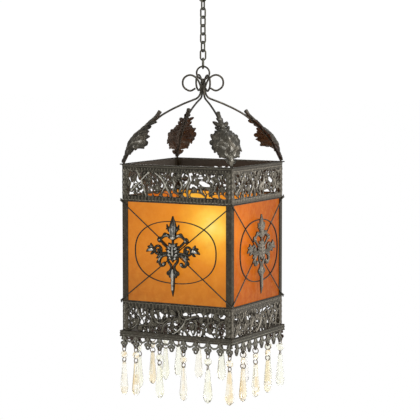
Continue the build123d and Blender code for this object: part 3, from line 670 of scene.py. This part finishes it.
OPENS = {}
for side in SIDES:
    for upper in (True, False):
        nm = ("upper" if upper else "lower") + "_band_" + side
        me = band_mesh("cast_" + nm, upper, SPAN[side], side)
        # the right and left bands take the copy with painted side light
        ob = add("cast_" + nm, me, "lantern", M_CAST if side in ("front", "back") else M_CAST_SIDE_PAINTED_LIGHT)
        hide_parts(nm)

# ------------------------------------------------------------------ fringe
TABS = {"front": [-72.0 + 16.62 * i for i in range(9)] + [73.8], "right": [(i + 0.5) * 16.5 for i in range(-4, 4)]}
TABS["back"], TABS["left"] = TABS["front"], TABS["right"]


def fringe_mesh(side):
    span = SPAN[side] + 5.0
    x1 = span / 2 - (0 if side in ("front", "back") else 0.1)
    st = [S([(-x1, 2.3, .9), (x1, 2.3, .9)], h=.8, n=2), S([(-x1, -1.4, .75), (x1, -1.4, .75)], h=.9, n=2), S([(-x1, 4.9, .5), (x1, 4.9, .5)], h=.8, n=2)]
    nb = int(2 * x1 / 1.9)
    for i in range(nb):
        x = -x1 + (i + .5) * 2 * x1 / nb
        st.append(blob(x, 3.8, .72, 1.25))
        st.append(blob(x, .35, .8, 1.3))
    for t in TABS[side]:
        st += [S([(t, -2.0, 1.5), (t, -5.0, 1.0), (t, -8.2, 1.5)], h=.9, n=5), blob(t - 2.3, -10.2, 2.15, .8), blob(t + 2.3, -10.2, 2.15, .8), blob(t, -8.4, 1.5, 1.0),
               blob(t, -13.2, 2.6, .65), S([(t - .2, -7.5, .5), (t - 2.2, -9.6, .7), (t - 3.4, -10.8, .4)], h=1.6, n=4), S([(t + .2, -7.5, .5), (t + 2.2, -9.6, .7), (t + 3.4, -10.8, .4)], h=1.6, n=4)]
        for sx in (-1, 1):
            st.append(spiral(t + sx * 2.6, -4.6, 1.5, .3, 90, 90 + sx * 330, .55, .7, 12))
    for q in st[3 + 2 * nb:]:
        q["w"] = q["w"] * 1.12 + .1
    for a, b in zip(TABS[side][:-1], TABS[side][1:]):
        m_ = (a + b) / 2
        st.append(S([(m_ - 6.8, -2.6, .9), (m_ - 4.8, -6.0, 1.05), (m_, -7.9, 1.15), (m_ + 4.8, -6.0, 1.05), (m_ + 6.8, -2.6, .9)], h=1.1, n=6))

    def extra(X, Y, d, Hh):
        bar = np.maximum(np.abs(X) - x1, np.maximum(-2.1 - Y, Y - 5.2))
        d = np.minimum(d, bar)
        for t in TABS[side]:
            d = np.maximum(d, 1.2 - np.hypot(X - t, Y + 13.0))
        return d, np.maximum(Hh, .28)
    mp0 = side_map(side)
    return relief("fringe_" + side, st, (-span / 2 - .5, span / 2 + .5, -16.4, 5.6), 0.36, base=.9, backz=1.4, hmax=1.0, mapping=mp0, extra=extra)


for i, side in enumerate(SIDES):
    ob = add("fringe_" + side, fringe_mesh(side), "lantern", M_FRINGE)
    if i == 0:
        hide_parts("scalloped_fringe")

# ------------------------------------------------------------------ medallions


def medallion_strokes():
    st = []
    # fluted bud
    st.append(S([(0, 123.5, 3.4), (0, 133, 4.4), (0, 140, 3.2), (0, 147.0, .6)], h=.16, n=10))
    for x0, w in ((-3.0, .75), (-1.0, .8), (1.0, .8), (3.0, .75)):
        st.append(S([(x0 * .8, 124.0, w), (x0 * 1.12, 133, w * 1.1), (x0 * .72, 140.5, w * .85), (x0 * .1, 148.5, .3)], h=2.1, n=10))
    # barbs
    for s in (-1, 1):
        st.append(S([(s * 3.4, 129.5, .9), (s * 5.8, 132.6, 1.3), (s * 7.6, 136.4, .9), (s * 8.2, 138.6, .3)], h=1.2, n=8))
        st.append(S([(s * 3.8, 133.5, .7), (s * 6.4, 135.0, .9), (s * 8.8, 133.2, .4)], h=1.3, n=6))
    # collar and C-scrolls
    st.append(S([(-4.6, 123.4, 1.4), (0, 122.4, 1.9), (4.6, 123.4, 1.4)], h=1.1, n=6))
    for s in (-1, 1):
        st.append(S([(s * 3.0, 123.2, 1.2), (s * 7.6, 125.6, 1.7), (s * 12.4, 124.4, 1.5), (s * 16.0, 121.4, 1.2)], h=1.1, n=10))
        st.append(S([(s * 8.0, 126.4, .6), (s * 11.0, 127.4, 1.1), (s * 13.6, 125.4, .5)], h=1.4, n=6))
        st.append(spiral(s * 17.8, 119.6, 2.6, .7, 90, 90 - s * 380, 1.1, 1.3, 20, 1.2))
        st.append(blob(s * 17.8, 119.6, 1.5, 1.4))
        st.append(S([(s * 15.6, 118.0, 1.1), (s * 12.4, 114.6, 1.2), (s * 8.6, 111.4, 1.1)], h=1.1, n=6))
    st.append(S([(0, 122, 1.3), (0, 117, 1.1), (0, 114, 1.6)], h=1.2, n=5))
    # boss: lobed leaf
    st.append({"x": np.array([0, .01]), "y": np.array([107, 107]), "w": np.array([8.4, 8.4]), "h": .16, "top": None})
    for k, (yy, ln) in enumerate(((115, 5.5), (111.6, 8.2), (107.6, 9.4), (103.4, 8.8), (99.6, 6.4))):
        for s in (-1, 1):
            st.append(S([(s * .6, yy - 3.4, 1.0), (s * ln * .55, yy - 1.2, 1.75), (s * ln, yy + 1.0, .7)], h=1.15, n=6))
    st.append(S([(0, 116.6, .7), (0, 107, 1.4), (0, 97.4, .6)], h=1.7, n=6))
    # side arms with ring volutes and fleur tips
    for s in (-1, 1):
        a = np.radians(np.linspace(200, -110, 26)) if s > 0 else np.radians(np.linspace(-20, 290, 26))
        st.append({"x": s * 20.4 + 4.6 * np.cos(a), "y": 107.4 + 4.9 * np.sin(a), "w": np.full(26, 1.15), "h": 1.2, "top": None})
        st.append(S([(s * 8.2, 104.4, 1.2), (s * 13.4, 103.8, 1.1), (s * 19.2, 102.6, 1.2)], h=1.1, n=6))
        st.append(S([(s * 17.2, 110.6, .6), (s * 18.2, 107.4, 1.1), (s * 19.6, 105.0, .9), (s * 20.4, 107.4, 1.3)], h=1.3, n=6))
        st.append(S([(s * 24.6, 107.4, 1.3), (s * 29, 107.6, 1.9), (s * 33.6, 106.6, 1.6), (s * 36.4, 104.8, .5)], h=1.1, n=8))
        st.append(S([(s * 26.4, 108.4, 1.0), (s * 29.4, 111.8, 1.6), (s * 30.4, 114.8, .4)], h=1.1, n=6))
        st.append(S([(s * 28.0, 108.4, .9), (s * 32.2, 110.4, 1.4), (s * 34.6, 110.8, .4)], h=1.1, n=6))
        st.append(S([(s * 26.0, 106.4, .9), (s * 28.4, 103.2, 1.3), (s * 30.6, 101.8, .4)], h=1.1, n=6))
        # lower arms
        st.append(S([(s * 7.6, 101.4, 1.3), (s * 13.0, 101.0, 1.5), (s * 17.4, 97.6, 1.7), (s * 18.6, 93.0, 1.5), (s * 16.4, 88.8, 1.3), (s * 12.8, 89.0, 1.2), (s * 11.6, 91.4, 1.7)], h=1.1, n=9))
        st.append(S([(s * 14.6, 100.8, 1.0), (s * 18.6, 100.0, 1.6), (s * 22.4, 97.4, .5)], h=1.1, n=6))
        st.append(S([(s * 17.2, 95.0, .8), (s * 20.6, 93.6, 1.2), (s * 22.0, 91.4, .3)], h=1.1, n=5))
        st.append(blob(s * 12.2, 90.8, 2.0, 1.0))
        # S stems
        st.append(S([(s * 6.6, 99.6, 1.0), (s * 6.4, 94.6, 1.2), (s * 3.0, 90.2, 1.3), (s * 2.0, 86.6, 1.2), (s * 4.0, 82.6, 1.3), (s * 6.6, 80.8, 1.2)], h=1.2, n=8))
        st.append(spiral(s * 5.6, 79.6, 2.2, .5, 60, 60 - s * 340, 1.05, 1.2, 16, 1.2))
        st.append(S([(s * 1.6, 80.8, 1.3), (s * 3.6, 77.4, 1.6), (s * 4.4, 75.0, .5)], h=1.0, n=5))
    st.append(S([(0, 98.4, .6), (0, 95.6, 1.1), (0, 93.4, .4)], h=1.5, n=5))
    # spike
    st.append(S([(0, 84, 1.5), (0, 78, 2.9), (0, 73, 2.2), (0, 67, 2.1), (0, 60, 1.6), (0, 52.3, .25)], h=1.2, n=8))
    return st


MED = medallion_strokes()
for s_ in MED:
    if s_["w"].max() < 6:
        s_["w"] = s_["w"] * 1.16 + .22
for i, side in enumerate(SIDES):
    off = -2.5 if side in ("front", "back") else 3.0
    mp0 = side_map(side)

    def mpm(V, mp0=mp0, off=off):
        V = V.copy()
        V[:, 0] += off
        return mp0(V)
    me = relief("medallion_" + side, MED, (-39.0, 39.0, 50.6, 150.0), 0.32, base=.6, backz=3.0, hmax=2.6, mapping=mpm, back_follow=.35)
    # the right and left medallions take the copy with painted side light
    ob = add("medallion_" + side, me, "lantern", M_MED if side in ("front", "back") else M_MED_SIDE_PAINTED_LIGHT)
    if i == 0:
        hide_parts("medallions")

# ------------------------------------------------------------------ crown leaves
ARM = [(99.3, 209.15), (93.4, 221), (86.4, 234.9), (71.2, 252), (52, 267.9), (37.8, 275.4), (23.6, 281.8), (4.6, 288.9)]
_arm = cr(ARM, 24)[:, :2]
_seg = np.hypot(*np.diff(_arm, axis=0).T)
_arc = np.concatenate([[0], np.cumsum(_seg)])
A0, A1 = 0.0, float(_arc[-1])


def arm_point(s):
    """(r, z) and outward normal on the arm at arc length s from the foot."""
    s = np.asarray(s, float)
    r = np.interp(s, _arc, _arm[:, 0]); z = np.interp(s, _arc, _arm[:, 1])
    e = 1.5
    r1 = np.interp(s + e, _arc, _arm[:, 0]); z1 = np.interp(s + e, _arc, _arm[:, 1])
    r0 = np.interp(s - e, _arc, _arm[:, 0]); z0 = np.interp(s - e, _arc, _arm[:, 1])
    tr, tz = r1 - r0, z1 - z0
    L = np.hypot(tr, tz) + 1e-9
    tr, tz = tr / L, tz / L
    return r, z, tz, -tr       # normal turned outwards (towards +r, +z)


# flat leaf: y runs from the tip at the foot (0) up to the rolled neck (about 62), x across
def leaf_strokes():
    L = [S([(.6, -13, 1.3), (-.3, -9, 3.0), (.2, -4, 4.2), (0, 1, 4.6), (0, 6, 4.2), (0, 13, 2.9), (0, 34, 3.3), (0, 46, 3.4), (0, 57, 3.0), (0, 63, 2.6)], h=.6, n=10)]
    L.append(S([(0, -12, .5), (0, 2, .9), (0, 26, 1.1), (0, 48, .9), (0, 60, .5)], h=2.1, n=8))
    # (root y, tip x, tip y, width)
    rows = [(-8.0, 6.9, -3.6, 2.3), (1.5, 13.2, 6.6, 4.4), (9.0, 21.0, 15.0, 4.8), (14.0, 21.4, 24.4, 4.8), (20.0, 18.4, 31.6, 4.2), (27.0, 10.4, 36.6, 3.4), (34.0, 8.4, 43.2, 2.5), (43.0, 9.0, 51.8, 2.8), (51.0, 3.4, 57.0, 1.6)]
    for y, tx, ty, w in rows:
        for s in (-1, 1):
            mx, my = tx * .52, y + (ty - y) * .40
            L.append(S([(s * .4, y, w * .95), (s * mx, my, w * 1.1), (s * tx * .84, y + (ty - y) * .8, w * .84), (s * tx, ty, w * .46)], h=.34, n=9))
            dx, dy = tx, ty - y
            n_ = math.hypot(dx, dy)
            px, py = -dy / n_, dx / n_
            if w > 3:
                for f, sg in ((.70, 1), (.70, -1)):
                    bx, by = tx * f, y + dy * f
                    ex_, ey_ = bx + px * w * 1.05 * sg + dx * .10, by + py * w * 1.05 * sg + dy * .10
                    L.append(S([(s * (bx - .2 * dx), by - .2 * dy, w * .4), (s * ex_, ey_, w * .40)], h=.7, n=6))
            L.append(S([(s * .6, y, .7), (s * mx, my, .75), (s * tx * .9, y + dy * .88, .45)], h=2.0, n=6))
            if w > 3:
                for f in (.30, .5, .7):
                    for sg in (-1, 1):
                        L.append(S([(s * tx * f, y + dy * f, .35), (s * (tx * (f + .14) + px * w * .8 * sg), y + dy * (f + .14) + py * w * .8 * sg, .45)], h=2.0, n=4))
    return L


LEAF = leaf_strokes()


def leaf_mesh(name, az, seed, swell, near, far_):
    r = np.random.RandomState(seed)
    tw = r.uniform(-.3, .3, 4)

    def rough(X, Y, d, H):
        w = np.sin(X * 2.3 + 1.7 * np.sin(Y * 1.1)) * np.sin(Y * 2.1 + 1.3 * np.sin(X * .9 + seed))
        w2 = np.sin(X * .62 + seed + .8 * np.sin(Y * .5)) * np.sin(Y * .55 + 1.2 * np.sin(np.abs(X) * .4))
        return d, np.maximum(H, .1) + (.24 * w + .42 * w2) * (H > .15)

    def mp(V):
        x, y, h = V[:, 0].copy(), V[:, 1], V[:, 2]
        x = x * (1 + .06 * tw[0])
        s = y + 13.0
        rr, z, nr, nz = arm_point(np.clip(s, 0.5, A1 - 1))
        q = np.abs(x) / 20.0
        # a dome under the neck, the lobes falling away and their ends rolling back up
        dome = swell * np.exp(-np.abs((y - 17) / np.where(y > 17, 14.0, 13.0)) ** 3)
        droop = 3.6 + (np.where(x < 0, near, far_) - 3.6) * np.clip((y - 3) / 12.0, 0, 1)
        lift = 2.0 + dome - (droop + dome * 1.3) * np.clip(q, 0, 1.15) ** 1.35 + 4.0 * np.clip(q - .74, 0, 1) ** 1.2 * (1 + tw[1])
        lift = lift + 1.2 * np.sin(y * .34 + np.sign(x) * 1.1 + seed) * np.clip(q, 0, 1)
        lift = lift + np.clip((y - 50) / 12, 0, 1) ** 2 * 1.0
        tail = np.clip((3 - y) / 9.0, 0, 1)
        lift = lift * (1 - tail) + (1.5 - 1.2 * q) * tail
        off = lift + h
        # tips of the side lobes draw in round the arm
        x = x * (1 - .14 * np.clip(q, 0, 1.2) ** 2)
        R = rr + nr * off
        Zz = z + nz * off
        c, s_ = math.cos(az), math.sin(az)
        tx, ty = -s_, c
        return np.stack([R * c + x * tx, R * s_ + x * ty, Zz - Z_HANG], 1)
    return relief(name, LEAF, (-27, 27, -15, 67), 0.40, base=.5, backz=0.0, hmax=1.7, mapping=mp, extra=rough, back_follow=.6)


def tube(path, rad, nseg=14, closed=False, cap=True, frame_up=(0, 0, 1)):
    """Round bar along a path (mm, n x 3) with radius per point; closed caps. Returns verts, faces."""
    P = np.asarray(path, float)
    n = len(P)
    rad = np.broadcast_to(np.asarray(rad, float), (n,))
    T = np.gradient(P, axis=0) if not closed else (np.roll(P, -1, 0) - np.roll(P, 1, 0))
    T /= np.linalg.norm(T, axis=1)[:, None] + 1e-9
    u = np.cross(T[0], frame_up)
    if np.linalg.norm(u) < 1e-3:
        u = np.cross(T[0], (1, 0, 0))
    u /= np.linalg.norm(u)
    V = []
    for i in range(n):
        u = u - T[i] * np.dot(u, T[i])
        u /= np.linalg.norm(u) + 1e-9
        v = np.cross(T[i], u)
        a = np.arange(nseg) * 2 * np.pi / nseg
        V.append(P[i] + rad[i] * (np.cos(a)[:, None] * u + np.sin(a)[:, None] * v))
    V = np.vstack(V)
    F = []
    m_ = n if closed else n - 1
    for i in range(m_):
        for j in range(nseg):
            a0 = i * nseg + j; a1 = i * nseg + (j + 1) % nseg
            b0 = ((i + 1) % n) * nseg + j; b1 = ((i + 1) % n) * nseg + (j + 1) % nseg
            F.append((a0, a1, b1, b0))
    if not closed and cap:
        V = np.vstack([V, P[0], P[-1]])
        for j in range(nseg):
            F.append((len(V) - 2, (j + 1) % nseg, j))
            F.append((len(V) - 1, (n - 1) * nseg + j, (n - 1) * nseg + (j + 1) % nseg))
    return V, F


def lathe(rz, nseg=32):
    """Closed profile turned about z; rz is an open list from axis to axis (r may be 0 only at the ends)."""
    V, F = [], []
    rz = list(rz)
    V.append((0, 0, rz[0][1]))
    rings = rz[1:-1]
    for r_, z_ in rings:
        for j in range(nseg):
            a = 2 * math.pi * j / nseg
            V.append((r_ * math.cos(a), r_ * math.sin(a), z_))
    V.append((0, 0, rz[-1][1]))
    n = len(rings)
    for j in range(nseg):
        F.append((0, 1 + (j + 1) % nseg, 1 + j))
        for i in range(n - 1):
            a0 = 1 + i * nseg + j; a1 = 1 + i * nseg + (j + 1) % nseg
            F.append((a0, a1, a1 + nseg, a0 + nseg))
        F.append((len(V) - 1, 1 + (n - 1) * nseg + j, 1 + (n - 1) * nseg + (j + 1) % nseg))
    return np.array(V, float), F


def orient_out(me):
    """Face normals outwards, so that the closed piece shades and exports right."""
    import bmesh
    bm = bmesh.new(); bm.from_mesh(me)
    bmesh.ops.recalc_face_normals(bm, faces=bm.faces)
    bm.to_mesh(me); bm.free(); me.update()


for k, (nm, ax, ay) in enumerate((("front_left", -1, -1), ("front_right", 1, -1), ("back_left", -1, 1), ("back_right", 1, 1))):
    az = math.atan2(ay * D / 2, ax * W / 2)
    me = leaf_mesh("leafwork_" + nm, az, k + 3, 6.4 if nm == "front_right" else 2.4, {"back_right": 3.0, "front_left": 11.0}.get(nm, 4.4), {"back_right": 11.0, "front_left": 11.0}.get(nm, 4.4))
    ob = add("leafwork_" + nm, me, "lantern", M_LEAF)
    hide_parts("leaf_" + nm)
    # open tube end that the leaf is rolled on
    s0 = 61.5
    r0, z0, nr, nz = arm_point(np.array([s0 + 13.0]))
    r0, z0, nr, nz = float(r0[0]), float(z0[0]), float(nr[0]), float(nz[0])
    tr, tz = -nz, nr                      # up along the arm
    c, s_ = math.cos(az), math.sin(az)
    base = np.array([(r0 + nr * 3.5), (z0 + nz * 3.5)])
    t2 = np.array([tr * .94 + nr * .33, tz * .94 + nz * .33]); t2 /= np.linalg.norm(t2)
    prof_out = [(-11.0, 2.0), (-6, 2.3), (0, 2.3), (2.2, 2.4)]
    Vv, Ff = [], []
    ns = 22
    rings = [(-12.0, .6), (-11.0, 1.6), (-6.0, 2.2), (0, 2.4), (3.0, 2.6), (3.8, 2.5), (4.2, 1.9), (3.9, 1.4), (-1.0, 1.3), (-1.2, .2)]
    u3 = np.array([t2[0] * c, t2[0] * s_, t2[1]])
    a3 = np.array([-s_, c, 0.0]); b3 = np.cross(u3, a3)
    o3 = np.array([base[0] * c, base[0] * s_, base[1] - Z_HANG])
    for l_, q in rings:
        for j in range(ns):
            a = 2 * math.pi * j / ns
            Vv.append(o3 + u3 * l_ + q * (math.cos(a) * a3 + math.sin(a) * b3))
    for i in range(len(rings) - 1):
        for j in range(ns):
            Ff.append((i * ns + j, i * ns + (j + 1) % ns, (i + 1) * ns + (j + 1) % ns, (i + 1) * ns + j))
    Ff.append(tuple(range(ns))[::-1]); Ff.append(tuple((len(rings) - 1) * ns + j for j in range(ns)))
    Vv = np.array(Vv)
    rel = np.array([(0.45 if i < 6 * ns else -1.0 if i >= 8 * ns else .3) for i in range(len(Vv))])
    me = new_mesh("leaf_stub_" + nm, Vv * MM, Ff, True, {"relief": rel})
    orient_out(me)
    add("leaf_stub_" + nm, me, "lantern", M_LEAF)

# ------------------------------------------------------------------ crystals
PX = (72.0, 55.38, 22.14, -11.1, -44.34, -73.8)
PEND = [(-x, -69.5, 0) for x in PX] + [(x, 69.5, 180) for x in PX] + [(77.0, y, 90) for y in (-41.25, -8.25, 24.75)] + [(-77.0, y, -90) for y in (41.25, 8.25, -24.75)]


def prism_mesh(name, levels, nside, rot, flat=1.0, centre=(0, 0, 0), bevel=None):
    """Faceted solid: levels of (radius, z, twist deg); flat squeezes the depth."""
    V, F = [], []
    for (r_, z_, tw) in levels:
        for j in range(nside):
            a = 2 * math.pi * (j + .5) / nside + math.radians(tw)
            V.append((r_ * math.cos(a), r_ * math.sin(a) * flat, z_))
    n = len(levels)
    for i in range(n - 1):
        t0, t1 = levels[i][2], levels[i + 1][2]
        for j in range(nside):
            a0, a1 = i * nside + j, i * nside + (j + 1) % nside
            b0, b1 = a0 + nside, a1 + nside
            if abs(t1 - t0) < 1e-6:
                F.append((a0, a1, b1, b0))
            elif t1 > t0:
                F.append((a0, a1, b0)); F.append((a1, b1, b0))
            else:
                F.append((a0, b1, b0)); F.append((a0, a1, b1))
    F.append(tuple(range(nside))[::-1]); F.append(tuple((n - 1) * nside + j for j in range(nside)))
    V = np.array(V)
    c, s_ = math.cos(rot), math.sin(rot)
    V = np.stack([V[:, 0] * c - V[:, 1] * s_, V[:, 0] * s_ + V[:, 1] * c, V[:, 2]], 1) + np.array(centre)
    return V, F


def facet_attr(me, seed, strips=False):
    r = np.random.RandomState(seed)
    at = me.attributes.new("facet", "FLOAT", "FACE")
    v = r.uniform(0, 1, len(me.polygons))
    if strips:
        C = np.array([p.center for p in me.polygons])
        D = C[:, :2] - C[:, :2].mean(0)
        k = (np.floor(np.arctan2(D[:, 1], D[:, 0]) / (math.pi / 4) + .5).astype(int)) % 8
        v = .75 * r.uniform(0, 1, 8)[k] + .25 * v
    at.data.foreach_set("value", v.astype(np.float32))


def bead_faces(cx, cz, R, dep):
    """Eight-sided bead facing -y: girdle, sloping facets and a small table both sides."""
    V, F = [], []
    rings = [(R * .42, -dep / 2), (R * .80, -dep * .36), (R, -dep * .09), (R, dep * .09), (R * .80, dep * .36), (R * .42, dep / 2)]
    tw = [22.5, 0, 22.5, 22.5, 0, 22.5]
    for (r_, y_), t in zip(rings, tw):
        for j in range(8):
            a = math.radians(45 * j + t)
            V.append((cx + r_ * math.cos(a), y_, cz + r_ * math.sin(a)))
    for i in range(5):
        for j in range(8):
            a0, a1 = i * 8 + j, i * 8 + (j + 1) % 8
            b0, b1 = a0 + 8, a1 + 8
            if tw[i] == tw[i + 1]:
                F.append((a0, a1, b1, b0))
            elif tw[i] > tw[i + 1]:
                F.append((a0, b1, b0)); F.append((a0, a1, b1))
            else:
                F.append((a0, a1, b0)); F.append((a1, b1, b0))
    F.append(tuple(range(8))[::-1]); F.append(tuple(40 + j for j in range(8)))
    return np.array(V, float), F


rp = np.random.RandomState(21)
for i, (px, py, yaw) in enumerate(PEND):
    nm = "crystal_pendant_%02d" % (i + 1)
    y_ = math.radians(yaw)
    c, s_ = math.cos(y_), math.sin(y_)

    def place(V, spin=0.0, tilt=0.0):
        V = np.asarray(V, float)
        cs, ss = math.cos(spin), math.sin(spin)
        V = np.stack([V[:, 0] * cs - V[:, 1] * ss, V[:, 0] * ss + V[:, 1] * cs, V[:, 2]], 1)
        V = np.stack([V[:, 0] * c - V[:, 1] * s_, V[:, 0] * s_ + V[:, 1] * c, V[:, 2]], 1)
        return V + np.array([px, py, -Z_HANG])
    spin = rp.uniform(-.25, .25)
    mat = M_CRYS[(1, 1, 0, 1, 0, 1, 0, 0, 2, 0, 1, 0, 1, 1, 1, 0, 1, 0)[i]]
    V, F = bead_faces(0, -24.0, 5.0, 4.6)
    me = new_mesh(nm + "_bead", place(V, spin) * MM, F, False)
    orient_out(me); facet_attr(me, 100 + i)
    ob = add(nm + "_bead", me, nm, mat)
    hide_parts(nm)
    # long faceted drop: eight-sided, waist under the head, long taper
    wob = rp.uniform(-.15, .15, 3)
    lv = [(1.3, -31.9, 0), (2.6, -34.0, 0), (3.0, -37.0, 0), (4.0, -48.0, 0), (5.5, -61.0, 0), (5.9, -65.0, 0), (5.0, -69.6, 0), (3.0, -72.6, 0), (1.0, -73.9, 0)]
    V, F = prism_mesh(nm, [(a_, b_, d_) for a_, b_, d_ in lv], 8, spin * 1.4 + wob[0], flat=.86)
    me = new_mesh(nm + "_drop", place(V) * MM, F, False)
    orient_out(me); facet_attr(me, 200 + i, True)
    add(nm + "_drop", me, nm, mat)
    # rings
    for tag, zc, R, w in (("upper", -16.7, 3.7, .56), ("lower", -30.7, 3.1, .52)):
        a = np.linspace(0, 2 * np.pi, 28, endpoint=False)
        pts = np.stack([np.zeros(28), R * np.cos(a), R * np.sin(a) + zc], 1)
        V, F = tube(pts, w, 8, closed=True)
        yw = (0 if tag == "upper" else spin + wob[1])
        me = new_mesh(nm + "_ring_" + tag, place(V, yw) * MM, F, True)
        orient_out(me)
        add(nm + "_ring_" + tag, me, nm, M_GILT)

# ------------------------------------------------------------------ CAD pieces take finishes
for n_, o in N.items():
    if n_.startswith("chain_link") or n_ == "s_hook":
        mat = M_CHAIN
    elif n_.startswith("arm_wire") or n_ in ("rim_rods", "cross_wires", "oval_wires", "top_ring"):
        mat = M_WIRE
    elif n_ == "corner_posts":
        mat = M_POST
    elif n_ in ("base_tray", "candle_pan"):
        mat = M_TRAY
    elif n_.startswith("glass_panel"):
        mat = glass_mat(n_.split("_")[-1])
    else:
        continue
    o.data.materials.clear()
    o.data.materials.append(mat)

# ------------------------------------------------------------------ candle and flame


def wax_mat():
    mt, nt, bs = nodes_of("candle_wax")
    co = nt.nodes.new("ShaderNodeTexCoord").outputs["Object"]
    sep = nt.nodes.new("ShaderNodeSeparateXYZ"); nt.links.new(co, sep.inputs[0])
    # painted glow: the wax top near the flame is lit by emission
    glow = mathn(nt, "MULTIPLY_ADD", sep.outputs["Z"], 1 / 0.06, (Z_HANG * MM - 0.060) / 0.06, clamp=True)
    n1 = noise(nt, 90.0, 3.0, co=co)
    nt.links.new(mixc(nt, n1, srgb(246, 232, 200), srgb(236, 214, 170)), bs.inputs["Base Color"])
    nt.links.new(mixc(nt, glow, srgb(120, 60, 20), srgb(255, 176, 84)), bs.inputs["Emission Color"])
    nt.links.new(mathn(nt, "MULTIPLY", glow, 0.35), bs.inputs["Emission Strength"])
    bs.inputs["Subsurface Weight"].default_value = 0.2
    bs.inputs["Subsurface Radius"].default_value = (0.008, 0.004, 0.002)
    nt.links.new(mathn(nt, "MULTIPLY_ADD", n1, 0.2, 0.35), bs.inputs["Roughness"])
    nt.links.new(bump(nt, n1, 0.3, 0.0008), bs.inputs["Normal"])
    return mt


M_WAX = wax_mat()
prof = [(0, 39.6), (24.6, 39.6), (25.0, 40.2), (25.0, 60), (24.9, 90), (25.0, 115.6), (24.7, 117.4), (24.0, 118.0), (22.6, 117.6), (21.6, 116.2), (18, 115.4), (8, 115.0), (0, 115.0)]
V, F = lathe([(r_, z_ - Z_HANG) for r_, z_ in prof], 64)
ring_i = 1
for vi in range(1, len(V) - 1):
    a = math.atan2(V[vi][1], V[vi][0])
    zb = V[vi][2] + Z_HANG
    if zb > 100:
        V[vi][2] += .45 * math.sin(3 * a + 1) * (np.hypot(V[vi][0], V[vi][1]) / 25)
me = new_mesh("candle_wax", V * MM, F, True)
orient_out(me)
ob = add("candle_wax", me, "candle", M_WAX)
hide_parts("candle")


def plain_noise(name, a, b, rough, scale=300.0, emis=None, strength=0.0):
    mt, nt, bs = nodes_of(name)
    n1 = noise(nt, scale, 3.0)
    nt.links.new(mixc(nt, n1, a, b), bs.inputs["Base Color"])
    bs.inputs["Roughness"].default_value = rough
    if emis:
        nt.links.new(mixc(nt, n1, emis[0], emis[1]), bs.inputs["Emission Color"])
        bs.inputs["Emission Strength"].default_value = strength
    return mt


M_WICK = plain_noise("wick_char", srgb(30, 24, 20), srgb(70, 54, 42), 0.9, 900.0)
V, F = tube([(0, 0, 112 - Z_HANG), (0, 0, 119 - Z_HANG), (.3, 0, 122 - Z_HANG), (.9, 0.2, 124.6 - Z_HANG), (1.4, .3, 126 - Z_HANG)], [.9, .9, .85, .8, .5], 10)
me = new_mesh("wick_thread", V * MM, F, True)
orient_out(me)
ob = add("wick_thread", me, "candle", M_WICK)
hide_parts("wick")
M_FLAME = plain_noise("flame", (1, .62, .18), (1, .75, .3), 0.6, 60.0, emis=(srgb(255, 214, 120), srgb(255, 240, 190)), strength=2.6)
V, F = lathe([(0, 120.5 - Z_HANG), (1.6, 121.2 - Z_HANG), (3.0, 123.4 - Z_HANG), (4.0, 127.0 - Z_HANG), (4.2, 131 - Z_HANG), (3.5, 136 - Z_HANG), (2.3, 141.5 - Z_HANG), (1.1, 146.5 - Z_HANG), (0, 150.5 - Z_HANG)], 28)
me = new_mesh("flame_body", V * MM, F, True)
orient_out(me)
add("flame_body", me, "candle", M_FLAME)

# ------------------------------------------------------------------ floor
fl = bpy.data.materials.new("floor")
fl.use_nodes = True
ft = fl.node_tree
b_ = ft.nodes["Principled BSDF"]
b_.inputs["Base Color"].default_value = (0.93, 0.93, 0.93, 1)
b_.inputs["Roughness"].default_value = 0.9
lp2 = ft.nodes.new("ShaderNodeLightPath")
sn2 = ft.nodes.new("ShaderNodeMath"); sn2.operation = "MAXIMUM"
ft.links.new(lp2.outputs["Is Camera Ray"], sn2.inputs[0])
ft.links.new(lp2.outputs["Is Transmission Ray"], sn2.inputs[1])
em = ft.nodes.new("ShaderNodeEmission")
em.inputs["Color"].default_value = (1.0, 1.0, 1.0, 1)
ms = ft.nodes.new("ShaderNodeMixShader")
ft.links.new(sn2.outputs[0], ms.inputs[0])
ft.links.new(b_.outputs[0], ms.inputs[1])
ft.links.new(em.outputs[0], ms.inputs[2])
ft.links.new(ms.outputs[0], ft.nodes["Material Output"].inputs["Surface"])
V = [(-30, -30, -1.25), (30, -30, -1.25), (30, 30, -1.25), (-30, 30, -1.25)]
me = new_mesh("floor", V, [(0, 1, 2, 3)], False)
me.materials.append(fl)
floor = bpy.data.objects.new("floor", me)
sc.collection.objects.link(floor)

# ------------------------------------------------------------------ update the scene
bpy.context.view_layer.update()
